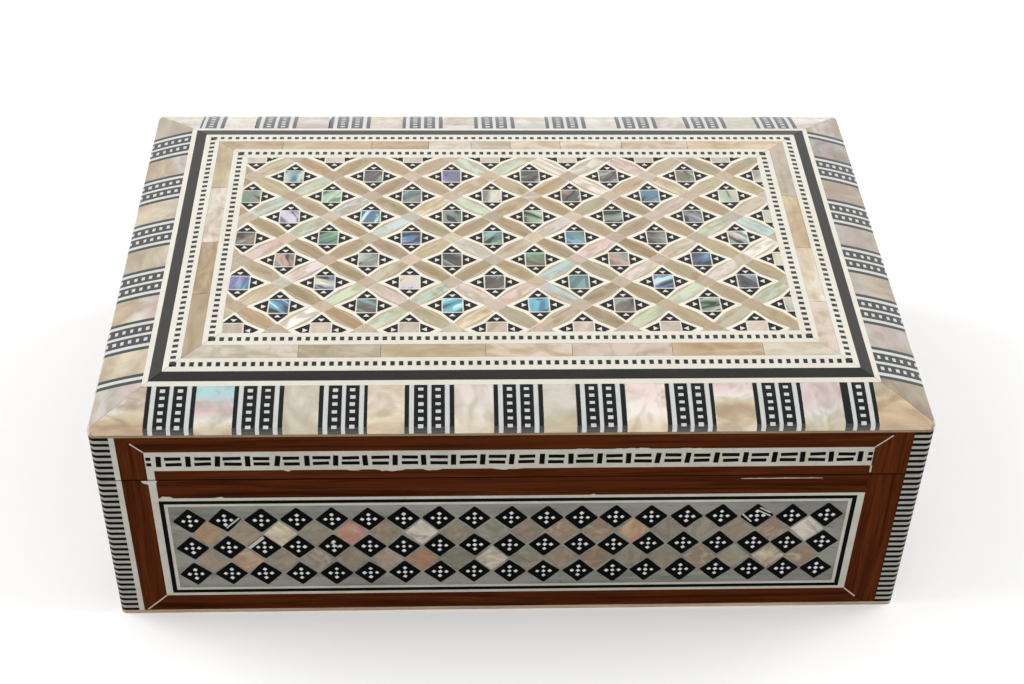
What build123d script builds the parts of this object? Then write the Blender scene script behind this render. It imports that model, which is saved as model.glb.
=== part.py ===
from build123d import *
from collections import namedtuple
from math import hypot, radians, sqrt, tan
import os

# Inlaid wooden box, millimetres. +X is to the right, the front faces -Y, +Z is up, and the origin is
# in the middle of the underside. A wooden carcass carries a thin skin of marquetry on every side and
# over the arched lid, and the lid turns on two butt hinges at the back.

# ---------------------------------------------------------------- driving dimensions
width = 229.0  # outside, along X
depth = 152.0  # outside, along Y
height = 80.0
seam = 55.4  # height of the joint between base and lid
corner_radius = 1.8  # upright outside edges

skin = 1.2  # thickness of the marquetry
pocket = 0.8  # depth of a tile let into filler or bone
wall = 7.0  # carcass walls and rails
board = 1.4  # bottom board, whose edge shows
glue_line = 0.1  # joint between two tiles of one kind
seam_gap = 0.1  # between base and lid carcass
skin_reveal = 0.2  # each skin stops this short of the seam
overshoot = 1.0  # how far a cutting shape runs past what it cuts

arch_radius = 98.0  # the lid's top falls to its edge along this arc
arch_run = 33.0  # how far in from the edge the arc starts
nose_radius = 1.4  # rounding where the arc meets the lid's sides
rim_bottom = 71.5  # top of the rails, underside of the rim's pale line
rim_line = 0.8

# upright frame on each side
frame_rail = 6.4  # bottom rail, above the board
panel_bottom = board + frame_rail
panel_top = 48.2
strip_bottom = 58.9  # bone strip with dashes, on the lid's sides
strip_top = 66.0
corner_reach = 5.5  # how far the stacked corner layers reach along each side
corner_layers_base = 50
corner_layers_lid = 15
edge_strip = 1.5  # bone strip beside the front left corner

# stringing round a panel: upright pieces are wider than level ones on the outside
outer_string_side = 2.1
outer_string = 1.2
ebony_string = 1.0
inner_string = 1.1

# dotted diamonds in a panel
diamond_pitch = 10.0
diamond_rows = 3
diamond_row_pitch = 11.2
diamond_half = (4.5, 4.6)
pearl_diamond_half = (4.75, 5.2)

# dashes in the lid's bone strip
dash_pitch = 8.0
upright_dash = (1.5, 4.0)
level_dash = (4.8, 1.3)
dash_spread = 2.1  # between the two level dashes of a pair
end_dash = 1.4  # length of the short pairs at the strip's ends

# bands on the lid, inwards from its edge
edge_band = 13.3
band_widths = [1.6, 3.4, 1.7, 1.6, 1.4, 5.1, 1.6, 1.6, 1.7]
striped_width = 13.3
pearl_border_piece = 21.0

# where each striped tile starts along its side, and where the last one, cut short, ends
striped_starts = {
    "front": [-99.5, -75.9, -53.0, -29.9, -5.8, 16.6, 41.1, 65.3, 89.5],
    "back": [-98.3, -74.8, -51.6, -27.9, -4.3, 19.6, 43.5, 67.8, 91.3],
    "left": [-61.0, -37.4, -13.7, 10.0, 33.6, 57.2],
    "right": [-61.0, -37.4, -13.7, 10.0, 33.6, 57.2],
}
striped_ends = {"front": 98.8, "back": 99.0, "left": 61.0, "right": 61.0}

# lattice in the lid's field
cell = (12.35, 10.65)
lattice_columns = 14
lattice_rows = 9
first_column = 3.0  # from the field's left edge
first_row = 0.3  # outside the field's back edge
star_tip = (7.4, 6.9)
star_base = (2.1, 2.65)  # half widths of the tiles pointing along X and along Y
centre_half = (3.05, 3.2)
ribbon_widths = (5.8, 5.2, 4.2)  # half way along a ribbon, a quarter from its end, and at its end
plate_width = 4.4  # across a plate, square to its edges

# linings
lining = 1.0
floor_pad = 1.5
lining_clearance = 0.1
lining_below_rim = 0.8

# butt hinges
hinge_spread = 140.0
hinge_length = 24.0
knuckle_radius = 1.2
pin_radius = 0.5
pin_clearance = 0.05
knuckle_gap = 0.2
knuckle_play = 0.1  # between a knuckle and the other leaf
knuckle_middle = 7.8
leaf = 0.8
leaf_width = 4.2
leaf_sink = 0.1  # each leaf lies this far below the seam
notch_clearance = 0.15
opening_stop = 103.0  # the bevels would meet here
screw_spacing = 16.0
screw_head_radius = 1.4
screw_radius = 0.65
screw_length = 6.0
screw_clearance = 0.02
countersink_angle = 90
slot_width = 0.35
slot_depth = 0.3

# ---------------------------------------------------------------- sizes that follow
core_width = width - 2 * skin
core_depth = depth - 2 * skin
core_radius = corner_radius - skin
base_top = seam - seam_gap / 2
lid_bottom = seam + seam_gap / 2
base_skin_top = seam - skin_reveal
lid_skin_bottom = seam + skin_reveal
field_half_x = width / 2 - edge_band - sum(band_widths)
field_half_y = depth / 2 - edge_band - sum(band_widths)
tile_floor = height - pocket
hinge_y = depth / 2 - skin
hinge_places = [(-hinge_spread / 2, hinge_y, seam), (hinge_spread / 2, hinge_y, seam)]
leaf_edge = hinge_y - knuckle_radius - knuckle_play
cell_gauge = cell[0] * cell[1] / hypot(*cell)  # across a cell of the lattice, square to a ribbon
plate_half = (plate_width / 2 * cell[0] / cell_gauge, plate_width / 2 * cell[1] / cell_gauge)

Side = namedtuple("Side", "face plan half left opening_left opening_right columns bone_post")


def make_side(outward, along, half, reach, opening, left=corner_reach, columns=19, bone_post=0.0):
    """A side of the box: its outer face, its plan with v running inwards, and where its parts end.

    bone_post is the width of the panel's left bone upright where it runs on up to the lid's strip.
    """
    origin = Vector(*outward) * reach
    return Side(
        Plane(origin=origin, x_dir=along, z_dir=outward),
        Plane(origin=origin, x_dir=along, z_dir=(0, 0, 1)),
        half,
        left - half,
        opening[0],
        opening[1],
        columns,
        bone_post,
    )


front_opening = (-100.3, 98.8)
long_opening = (-99.55, 99.55)
short_opening = (-60.55, 60.55)
front_left = corner_reach + edge_strip
half_x, half_y = width / 2, depth / 2
sides = {
    "front": make_side(
        (0, -1, 0), (1, 0, 0), half_x, half_y, front_opening, front_left, bone_post=outer_string_side
    ),
    "back": make_side((0, 1, 0), (-1, 0, 0), half_x, half_y, long_opening),
    "left": make_side((-1, 0, 0), (0, -1, 0), half_y, half_x, short_opening, columns=11),
    "right": make_side((1, 0, 0), (0, 1, 0), half_y, half_x, short_opening, columns=11),
}

os.makedirs("parts", exist_ok=True)


def save(piece, name):
    """Labels a finished piece with its node's name and writes it."""
    piece.part.label = name
    export_step(piece.part, f"parts/{name}.step")


def box_outline(left, right, bottom, top):
    """Corners of an upright rectangle."""
    return [(left, bottom), (right, bottom), (right, top), (left, top)]


def diamond(half):
    """Corners of a diamond with the given half diagonals."""
    return [(half[0], 0), (0, half[1]), (-half[0], 0), (0, -half[1])]


# ---------------------------------------------------------------- carcass
def carcass_piece(centre, size, bottom, top):
    """A wall or rail: the part of the carcass's rounded outline inside one rectangle."""
    with BuildPart() as piece:
        with BuildSketch(Plane.XY.offset(bottom)):
            RectangleRounded(core_width, core_depth, core_radius)
            with Locations(centre):
                Rectangle(*size, mode=Mode.INTERSECT)
        extrude(amount=top - bottom)
    return piece


carcass_places = {
    "front": ((0, wall / 2 - core_depth / 2), (core_width, wall)),
    "back": ((0, core_depth / 2 - wall / 2), (core_width, wall)),
    "left": ((wall / 2 - core_width / 2, 0), (wall, core_depth - 2 * wall)),
    "right": ((core_width / 2 - wall / 2, 0), (wall, core_depth - 2 * wall)),
}

with BuildPart() as bottom_board:
    with BuildSketch():
        RectangleRounded(width, depth, corner_radius)
    extrude(amount=board)
save(bottom_board, "base_bottom_board")


# ---------------------------------------------------------------- room for the hinges
def hinge_mortises(direction):
    """What the hinges need cut out of the base (direction -1) or the lid (+1)."""
    leaf_depth = leaf_sink + leaf
    recess_length = hinge_length + 2 * notch_clearance
    recess_reach = hinge_y - leaf_edge + leaf_width
    with BuildPart() as cut:
        for place in hinge_places:
            with Locations(Location(place)):
                Cylinder(
                    knuckle_radius + notch_clearance,
                    recess_length,
                    rotation=(0, 90, 0),
                )
                with Locations((0, -recess_reach / 2, direction * leaf_depth / 2)):
                    Box(recess_length, recess_reach, leaf_depth)
                with Locations(*screw_places(direction)):
                    Cylinder(screw_radius + screw_clearance, 2 * (leaf_depth + screw_length))
    return cut.part


def screw_places(direction):
    """Where a leaf's screws go, from the middle of the hinge's pin."""
    across = leaf_edge - hinge_y - leaf_width / 2
    return [(x, across, direction * leaf_sink) for x in (-screw_spacing / 2, screw_spacing / 2)]


def back_bevel(direction):
    """The wedge behind the pin that the skin gives up, so that the lid can swing back."""
    outer = hinge_y + skin + overshoot
    fall = seam + direction * (outer - hinge_y) * tan(radians(opening_stop / 2))
    back = seam - direction * overshoot
    with BuildPart() as wedge:
        with BuildSketch(Plane.YZ):
            Polygon((hinge_y, seam), (outer, fall), (outer, back), (hinge_y, back))
        extrude(amount=width / 2, both=True)
    return wedge.part


base_mortises = hinge_mortises(-1)
lid_mortises = hinge_mortises(1)
base_bevel = back_bevel(-1)
lid_bevel = back_bevel(1)

for name, (centre, size) in carcass_places.items():
    base_wall = carcass_piece(centre, size, board, base_top)
    lid_rail = carcass_piece(centre, size, lid_bottom, rim_bottom)
    if name == "back":
        with base_wall:
            add(base_mortises, mode=Mode.SUBTRACT)
        with lid_rail:
            add(lid_mortises, mode=Mode.SUBTRACT)
    save(base_wall, f"base_{name}_wall")
    save(lid_rail, f"lid_{name}_rail")

# ---------------------------------------------------------------- upright frames of wood
def frame_pieces(side):
    """The base's frame on one side: two level rails with mitred ends and two stiles between them."""
    left, right = side.opening_left, side.opening_right
    low_run = panel_bottom - board
    high_run = base_skin_top - panel_top
    bottom_rail = [
        (left + glue_line - low_run, board),
        (right - glue_line + low_run, board),
        (right - glue_line, panel_bottom),
        (left + glue_line, panel_bottom),
    ]
    middle_band = box_outline(left + side.bone_post + glue_line, right - glue_line, panel_top, base_skin_top)
    left_stile = [
        (side.left, board),
        (left - low_run, board),
        (left, panel_bottom),
        (left, base_skin_top),
        (side.left, base_skin_top),
    ]
    far = side.half - corner_reach
    right_stile = [
        (right + low_run, board),
        (far, board),
        (far, base_skin_top),
        (right, base_skin_top),
        (right, panel_bottom),
    ]
    return [bottom_rail, middle_band, left_stile, right_stile]


def lid_frame_pieces(side):
    """The lid's frame on one side: a mitred top rail, two stiles and the strip of wood by the seam."""
    left, right = side.opening_left, side.opening_right
    run = rim_bottom - strip_top
    far = side.half - corner_reach
    top_rail = [
        (left + glue_line, strip_top),
        (right - glue_line, strip_top),
        (right - glue_line + run, rim_bottom),
        (left + glue_line - run, rim_bottom),
    ]
    seam_band_left = left + side.bone_post + glue_line
    seam_band = box_outline(seam_band_left, right - glue_line, lid_skin_bottom, strip_bottom)
    left_stile = [
        (side.left, lid_skin_bottom),
        (left, lid_skin_bottom),
        (left, strip_top),
        (left - run, rim_bottom),
        (side.left, rim_bottom),
    ]
    right_stile = [
        (right, lid_skin_bottom),
        (far, lid_skin_bottom),
        (far, rim_bottom),
        (right + run, rim_bottom),
        (right, strip_top),
    ]
    return [top_rail, seam_band, left_stile, right_stile]


for name, side in sides.items():
    with BuildPart() as base_frame:
        for outline in frame_pieces(side):
            with BuildSketch(side.face):
                Polygon(*outline)
            extrude(amount=-skin)
        if name == "back":
            add(base_bevel, mode=Mode.SUBTRACT)
            add(base_mortises, mode=Mode.SUBTRACT)
    save(base_frame, f"base_{name}_frame")

with BuildPart() as lid_frames:
    for outline_side in sides.values():
        for outline in lid_frame_pieces(outline_side):
            with BuildSketch(outline_side.face):
                Polygon(*outline)
            extrude(amount=-skin)
    add(lid_bevel, mode=Mode.SUBTRACT)
    add(lid_mortises, mode=Mode.SUBTRACT)
save(lid_frames, "lid_wood_frames")


# ---------------------------------------------------------------- stacked corner layers
def corner_stack(bottom, top, layers, first, relief):
    """Every second layer of the four corner stacks, starting from a given one."""
    thickness = (top - bottom) / layers
    with BuildPart() as stack:
        for layer in range(first, layers, 2):
            with BuildSketch(Plane.XY.offset(bottom + layer * thickness)):
                RectangleRounded(width, depth, corner_radius)
                RectangleRounded(core_width, core_depth, core_radius, mode=Mode.SUBTRACT)
                Rectangle(width - 2 * corner_reach, depth + overshoot, mode=Mode.SUBTRACT)
                Rectangle(width + overshoot, depth - 2 * corner_reach, mode=Mode.SUBTRACT)
            extrude(amount=thickness)
        add(relief, mode=Mode.SUBTRACT)
    return stack


save(corner_stack(board, base_skin_top, corner_layers_base, 0, base_bevel), "base_corner_ebony_layers")
save(corner_stack(board, base_skin_top, corner_layers_base, 1, base_bevel), "base_corner_bone_layers")
save(corner_stack(lid_skin_bottom, rim_bottom, corner_layers_lid, 0, lid_bevel), "lid_corner_ebony_layers")
save(corner_stack(lid_skin_bottom, rim_bottom, corner_layers_lid, 1, lid_bevel), "lid_corner_bone_layers")

strip_left = corner_reach - width / 2
with BuildPart() as base_edge_strip:
    with BuildSketch(sides["front"].face):
        Polygon(*box_outline(strip_left, strip_left + edge_strip, board, base_skin_top))
    extrude(amount=-skin)
save(base_edge_strip, "base_bone_edge_strip")

with BuildPart() as lid_edge_strip:
    with BuildSketch(sides["front"].face):
        Polygon(*box_outline(strip_left, strip_left + edge_strip, lid_skin_bottom, rim_bottom))
    extrude(amount=-skin)
save(lid_edge_strip, "lid_bone_edge_strip")


# ---------------------------------------------------------------- panels on the base's sides
def panel_inset(side, sideways, level):
    """The panel's outline taken in by different amounts from its upright and its level edges."""
    return box_outline(
        side.opening_left + sideways,
        side.opening_right - sideways,
        panel_bottom + level,
        panel_top - level,
    )


string_steps = [
    (0, 0),
    (outer_string_side, outer_string),
    (outer_string_side + ebony_string, outer_string + ebony_string),
    (
        outer_string_side + ebony_string + inner_string,
        outer_string + ebony_string + inner_string,
    ),
]
string_names = ["base_outer_bone_string", "base_ebony_string", "base_inner_bone_string"]
for string_name, outside, inside in zip(string_names, string_steps, string_steps[1:]):
    with BuildPart() as string:
        for side in sides.values():
            with BuildSketch(side.face):
                Polygon(*panel_inset(side, *outside))
                if side.bone_post and outside == string_steps[0]:
                    post_left = side.opening_left
                    Polygon(*box_outline(post_left, post_left + side.bone_post, panel_bottom, base_skin_top))
                Polygon(*panel_inset(side, *inside), mode=Mode.SUBTRACT)
            extrude(amount=-skin)
    save(string, string_name)


def panel_grid(side, columns, rows):
    """Places of a panel's diamonds, spread about its middle."""
    across = (side.opening_left + side.opening_right) / 2
    up = (panel_bottom + panel_top) / 2
    return [
        (
            across + (column - (columns - 1) / 2) * diamond_pitch,
            up + (row - (rows - 1) / 2) * diamond_row_pitch,
        )
        for column in range(columns)
        for row in range(rows)
    ]


with BuildPart() as panel_filler:
    for side in sides.values():
        with BuildSketch(side.face.offset(-skin)):
            Polygon(*panel_inset(side, *string_steps[-1]))
        extrude(amount=skin - pocket)
        with BuildSketch(side.face.offset(-pocket)):
            Polygon(*panel_inset(side, *string_steps[-1]))
            with Locations(*panel_grid(side, side.columns, diamond_rows)):
                Polygon(*diamond(diamond_half), mode=Mode.SUBTRACT)
            with Locations(*panel_grid(side, side.columns - 1, diamond_rows - 1)):
                Polygon(*diamond(pearl_diamond_half), mode=Mode.SUBTRACT)
        extrude(amount=pocket)
save(panel_filler, "base_panel_filler")

with BuildPart() as dotted_diamonds:
    for side in sides.values():
        with BuildSketch(side.face):
            with Locations(*panel_grid(side, side.columns, diamond_rows)):
                Polygon(*diamond(diamond_half))
        extrude(amount=-pocket)
save(dotted_diamonds, "base_dotted_diamonds")

with BuildPart() as pearl_diamonds:
    for side in sides.values():
        with BuildSketch(side.face):
            with Locations(*panel_grid(side, side.columns - 1, diamond_rows - 1)):
                Polygon(*diamond(pearl_diamond_half))
        extrude(amount=-pocket)
save(pearl_diamonds, "base_pearl_diamonds")


# ---------------------------------------------------------------- bone strip with dashes on the lid
def dash_places(side):
    """Middles of the upright dashes and of the level pairs between them, along one side."""
    middle = (side.opening_left + side.opening_right) / 2
    count = int((side.opening_right - side.opening_left - dash_pitch / 2) // dash_pitch)
    uprights = [middle + (n - count / 2) * dash_pitch for n in range(count + 1)]
    pairs = [x + dash_pitch / 2 for x in uprights[:-1]]
    return uprights, pairs


def dashes(side, mode):
    """Draws one side's dashes in the sketch at hand."""
    uprights, pairs = dash_places(side)
    level = (strip_bottom + strip_top) / 2
    ends = [side.opening_left + end_dash / 2, side.opening_right - end_dash / 2]
    with Locations(*[(x, level) for x in uprights]):
        Rectangle(*upright_dash, mode=mode)
    for up in (-dash_spread / 2, dash_spread / 2):
        with Locations(*[(x, level + up) for x in pairs]):
            Rectangle(*level_dash, mode=mode)
        with Locations(*[(x, level + up) for x in ends]):
            Rectangle(end_dash, level_dash[1], mode=mode)


with BuildPart() as bone_strips:
    for side in sides.values():
        strip = box_outline(side.opening_left, side.opening_right, strip_bottom, strip_top)
        with BuildSketch(side.face.offset(-skin)):
            Polygon(*strip)
        extrude(amount=skin - pocket)
        with BuildSketch(side.face.offset(-pocket)):
            Polygon(*strip)
            dashes(side, Mode.SUBTRACT)
        extrude(amount=pocket)
        if side.bone_post:
            post_left = side.opening_left
            with BuildSketch(side.face):
                Polygon(*box_outline(post_left, post_left + side.bone_post, lid_skin_bottom, strip_bottom))
            extrude(amount=-skin)
save(bone_strips, "lid_bone_strips")

with BuildPart() as ebony_dashes:
    for side in sides.values():
        with BuildSketch(side.face):
            dashes(side, Mode.ADD)
        extrude(amount=-pocket)
save(ebony_dashes, "lid_ebony_dashes")


# ---------------------------------------------------------------- arched lid
def arched_block(inset, bottom):
    """Two crossed arches above a given height, taken in by an inset from the lid's outside."""
    radius = arch_radius - inset
    nose = height - arch_radius + sqrt(radius**2 - (arch_run - inset) ** 2)
    with BuildPart() as block:
        for plane, half, reach, mode in (
            (Plane.XZ, width / 2, depth / 2, Mode.ADD),
            (Plane.YZ, depth / 2, width / 2, Mode.INTERSECT),
        ):
            edge = half - inset
            flat = half - arch_run
            top = height - inset
            with BuildSketch(plane):
                with BuildLine():
                    left_arc = RadiusArc((-edge, nose), (-flat, top), radius)
                    flat_top = Line(left_arc @ 1, (flat, top))
                    right_arc = RadiusArc(flat_top @ 1, (edge, nose), radius)
                    Polyline(right_arc @ 1, (edge, bottom), (-edge, bottom), left_arc @ 0)
                make_face()
                if inset == 0:
                    noses = vertices().sort_by(Axis.Y)[2:4]
                    fillet(noses, nose_radius)
            extrude(amount=reach, both=True, mode=mode)
    return block


top_board = arched_block(skin, rim_bottom)
with top_board:
    fillet(top_board.edges().filter_by(Axis.Z), core_radius)
save(top_board, "lid_top_board")

rim_top = rim_bottom + rim_line
with BuildPart() as top_skin:
    add(arched_block(0, rim_top).part)
    with BuildSketch(Plane.XY.offset(rim_top)):
        RectangleRounded(width, depth, corner_radius)
    extrude(amount=height - rim_top, mode=Mode.INTERSECT)
    add(top_board.part, mode=Mode.SUBTRACT)


def band_outline(side, near, far):
    """A mitred strip along one side of the lid, between two distances from its edge."""
    reach_near = side.half - near - glue_line
    reach_far = side.half - far - glue_line
    return [(-reach_near, near), (reach_near, near), (reach_far, far), (-reach_far, far)]


def top_pieces(outlines):
    """Pieces of the lid's skin under the given outlines, each a pair of side and corners."""
    with BuildPart() as pieces:
        for outline_side, outline in outlines:
            with BuildSketch(outline_side.plan.offset(rim_top)):
                Polygon(*outline)
            extrude(amount=height)
        add(top_skin.part, mode=Mode.INTERSECT)
    return pieces


with BuildPart() as rim_lines:
    for side in sides.values():
        with BuildSketch(side.plan.offset(rim_bottom)):
            Polygon(*band_outline(side, 0, skin + core_radius))
        extrude(amount=rim_line)
    with BuildSketch(Plane.XY.offset(rim_bottom)):
        RectangleRounded(width, depth, corner_radius)
        RectangleRounded(core_width, core_depth, core_radius, mode=Mode.SUBTRACT)
    extrude(amount=rim_line, mode=Mode.INTERSECT)
save(rim_lines, "lid_rim_line")


def edge_tiles(side, starts, end):
    """Striped tiles and pearl tiles along one side, mitred where the first and the last meet a corner."""
    rights = [min(left + striped_width, end) for left in starts]
    outer, inner = side.half - glue_line, side.half - edge_band - glue_line
    striped = [box_outline(left, right, 0, edge_band) for left, right in zip(starts, rights)]
    pearl = [box_outline(right, left, 0, edge_band) for right, left in zip(rights, starts[1:])]
    pearl.append([(-outer, 0), (starts[0], 0), (starts[0], edge_band), (-inner, edge_band)])
    pearl.append([(end, 0), (outer, 0), (inner, edge_band), (end, edge_band)])
    return striped, pearl


striped_outlines, pearl_outlines = [], []
for name, side in sides.items():
    striped, pearl = edge_tiles(side, striped_starts[name], striped_ends[name])
    striped_outlines += [(side, outline) for outline in striped]
    pearl_outlines += [(side, outline) for outline in pearl]
save(top_pieces(striped_outlines), "lid_striped_rim_tiles")
save(top_pieces(pearl_outlines), "lid_pearl_rim_tiles")

band_names = [
    "lid_first_bone_line",
    "lid_ebony_border",
    "lid_second_bone_line",
    "lid_outer_checker_row",
    "lid_third_bone_line",
    "lid_pearl_border",
    "lid_fourth_bone_line",
    "lid_inner_checker_row",
    "lid_fifth_bone_line",
]


def border_pieces(side, near, far):
    """The pearl border along one side, cut into pieces of nearly equal length."""
    reach = side.half - far - glue_line
    count = round(2 * reach / pearl_border_piece)
    cuts = [-reach + 2 * reach * n / count for n in range(count + 1)]
    outlines = [
        box_outline(left, right - glue_line, near, far) for left, right in zip(cuts[1:-1], cuts[2:-1])
    ]
    outer = side.half - near - glue_line
    outlines.append([(-outer, near), (cuts[1] - glue_line, near), (cuts[1] - glue_line, far), (-reach, far)])
    outlines.append([(cuts[-2], near), (outer, near), (reach, far), (cuts[-2], far)])
    return outlines


near = edge_band
for band_name, band_width in zip(band_names, band_widths):
    far = near + band_width
    if band_name == "lid_pearl_border":
        outlines = [(s, piece) for s in sides.values() for piece in border_pieces(s, near, far)]
    else:
        outlines = [(s, band_outline(s, near, far)) for s in sides.values()]
    save(top_pieces(outlines), band_name)
    near = far


# ---------------------------------------------------------------- lattice in the lid's field
def lattice_point(column, row):
    """Where a column and a row of the lattice cross, counted from the back left."""
    return (
        first_column - field_half_x + column * cell[0],
        field_half_y + first_row - row * cell[1],
    )


def lattice_places(remainder):
    """Lattice points whose column and row add up to even (0) or odd (1)."""
    return [
        lattice_point(column, row)
        for column in range(lattice_columns)
        for row in range(lattice_rows)
        if (column + row) % 2 == remainder
    ]


def ribbon_places(remainder):
    """Middles of the lattice's cells, by the way that their ribbon runs."""
    return [
        lattice_point(column + 0.5, row + 0.5)
        for column in range(-1, lattice_columns - 1)
        for row in range(lattice_rows)
        if (column + row) % 2 == remainder
    ]


def ribbon_outline(rise):
    """A ribbon across one cell, rising to the right (1) or falling (-1), cut along the plates."""
    end = 1 - (plate_width / 2 + glue_line) / cell_gauge
    middle, quarter, tip = (across / 2 / cell_gauge for across in ribbon_widths)
    edge = [(-end, tip), (-end / 2, quarter), (0, middle), (end / 2, quarter), (end, tip)]
    corners = [(s, -t) for s, t in edge] + edge[::-1]
    return [((s + t) * cell[0] / 2, rise * (s - t) * cell[1] / 2) for s, t in corners]


def star_outlines():
    """The four tiles that point away from a star's middle."""
    along, up = star_tip
    gap_x, gap_y = centre_half[0] + glue_line, centre_half[1] + glue_line
    return [
        [(gap_x, -star_base[0]), (along, 0), (gap_x, star_base[0])],
        [(-gap_x, -star_base[0]), (-along, 0), (-gap_x, star_base[0])],
        [(-star_base[1], gap_y), (star_base[1], gap_y), (0, up)],
        [(-star_base[1], -gap_y), (star_base[1], -gap_y), (0, -up)],
    ]


def draw_stars(mode):
    with Locations(*lattice_places(0)):
        for outline in star_outlines():
            Polygon(*outline, mode=mode)


def draw_centres(mode):
    with Locations(*lattice_places(0)):
        Rectangle(2 * centre_half[0], 2 * centre_half[1], mode=mode)


def draw_plates(mode):
    with Locations(*lattice_places(1)):
        Polygon(*diamond(plate_half), mode=mode)


def draw_ribbons(mode):
    # a ribbon runs between two plates: it rises where the star is at its cell's back left corner
    with Locations(*ribbon_places(0)):
        Polygon(*ribbon_outline(1), mode=mode)
    with Locations(*ribbon_places(1)):
        Polygon(*ribbon_outline(-1), mode=mode)


with BuildPart() as field_filler:
    with BuildSketch(Plane.XY.offset(height - skin)):
        Rectangle(2 * field_half_x, 2 * field_half_y)
    extrude(amount=skin - pocket)
    with BuildSketch(Plane.XY.offset(tile_floor)):
        Rectangle(2 * field_half_x, 2 * field_half_y)
        for draw in (draw_stars, draw_centres, draw_plates, draw_ribbons):
            draw(Mode.SUBTRACT)
    extrude(amount=pocket)
save(field_filler, "lid_field_filler")

for draw, field_name in (
    (draw_stars, "lid_star_tiles"),
    (draw_centres, "lid_abalone_squares"),
    (draw_plates, "lid_crossing_plates"),
    (draw_ribbons, "lid_pearl_ribbons"),
):
    with BuildPart() as field_tiles:
        with BuildSketch(Plane.XY.offset(tile_floor)):
            draw(Mode.ADD)
            Rectangle(2 * field_half_x, 2 * field_half_y, mode=Mode.INTERSECT)
        extrude(amount=pocket)
    save(field_tiles, field_name)

# ---------------------------------------------------------------- velvet linings
room_x = core_width / 2 - wall - lining_clearance
room_y = core_depth / 2 - wall - lining_clearance


def wall_linings(bottom, top):
    """Four upright cards round the inside of the carcass."""
    with BuildPart() as cards:
        with BuildSketch(Plane.XY.offset(bottom)):
            for away in (-1, 1):
                with Locations((0, away * (room_y - lining / 2))):
                    Rectangle(2 * room_x, lining)
                with Locations((away * (room_x - lining / 2), 0)):
                    Rectangle(lining, 2 * (room_y - lining - lining_clearance))
        extrude(amount=top - bottom)
    return cards


with BuildPart() as floor_lining:
    with BuildSketch(Plane.XY.offset(board)):
        Rectangle(2 * room_x, 2 * room_y)
    extrude(amount=floor_pad)
save(floor_lining, "base_floor_lining")
save(wall_linings(board + floor_pad + lining_clearance, seam - lining_below_rim), "base_wall_linings")

with BuildPart() as ceiling_lining:
    with BuildSketch(Plane.XY.offset(rim_bottom - lining)):
        Rectangle(2 * room_x, 2 * room_y)
    extrude(amount=lining)
save(ceiling_lining, "lid_top_lining")
save(wall_linings(seam + lining_below_rim, rim_bottom - lining - lining_clearance), "lid_wall_linings")


# ---------------------------------------------------------------- hinges
def hinge_leaf(place, direction):
    """One leaf with its knuckles: two outer ones on the base (-1), the middle one on the lid (+1)."""
    outer_length = (hinge_length - knuckle_middle) / 2 - knuckle_gap
    outer_place = (knuckle_middle + outer_length) / 2 + knuckle_gap
    knuckles = [(0, knuckle_middle)]
    if direction < 0:
        knuckles = [(-outer_place, outer_length), (outer_place, outer_length)]
    face = seam + direction * leaf_sink
    with BuildPart() as hinge_half:
        with BuildSketch(Plane.XY.offset(face)):
            with Locations((place[0], leaf_edge - leaf_width / 2)):
                Rectangle(hinge_length, leaf_width)
            for x, length in knuckles:
                with Locations((place[0] + x, (leaf_edge + hinge_y) / 2)):
                    Rectangle(length, hinge_y - leaf_edge)
        extrude(amount=direction * leaf)
        for x, length in knuckles:
            with Locations((place[0] + x, hinge_y, seam)):
                Cylinder(knuckle_radius, length, rotation=(0, 90, 0))
        with Locations((place[0], hinge_y, seam)):
            Cylinder(
                pin_radius + pin_clearance,
                hinge_length + overshoot,
                rotation=(0, 90, 0),
                mode=Mode.SUBTRACT,
            )
        for across, along, _ in screw_places(direction):
            with Locations(Location((place[0] + across, hinge_y + along, face), screw_turn(direction))):
                CounterSinkHole(
                    screw_radius + screw_clearance,
                    screw_head_radius + screw_clearance,
                    leaf,
                    counter_sink_angle=countersink_angle,
                )
    return hinge_half


def screw_turn(direction):
    """A screw's head faces up out of the base and down out of the lid."""
    return (0, 0, 0) if direction < 0 else (180, 0, 0)


def hinge_screws(direction):
    """The slotted countersunk screws of both leaves, heads flush with the leaf."""
    cone = screw_head_radius - screw_radius
    face = seam + direction * leaf_sink
    deep = direction * (leaf + screw_length)
    with BuildPart() as screws:
        for place in hinge_places:
            for across, along, _ in screw_places(direction):
                axis_point = (place[0] + across, hinge_y + along, face)
                with BuildSketch(Plane(origin=axis_point, x_dir=(1, 0, 0), z_dir=(0, -1, 0))):
                    Polygon(
                        (0, 0),
                        (screw_head_radius, 0),
                        (screw_radius, direction * cone),
                        (screw_radius, deep - direction * screw_radius),
                        (0, deep),
                    )
                revolve(axis=Axis(axis_point, (0, 0, 1)))
                with Locations(axis_point):
                    Box(2 * screw_head_radius, slot_width, 2 * slot_depth, mode=Mode.SUBTRACT)
    return screws


for side_name, place in zip(("left", "right"), hinge_places):
    save(hinge_leaf(place, -1), f"{side_name}_hinge_base_leaf")
    save(hinge_leaf(place, 1), f"{side_name}_hinge_lid_leaf")
    with BuildPart() as pin:
        with Locations(Location(place)):
            Cylinder(pin_radius, hinge_length, rotation=(0, 90, 0))
    save(pin, f"{side_name}_hinge_pin")
save(hinge_screws(-1), "base_hinge_screws")
save(hinge_screws(1), "lid_hinge_screws")
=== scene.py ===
"""An inlaid wooden box: its marquetry piece by piece, its velvet linings, finish, light and camera."""

import math
import random

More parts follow.
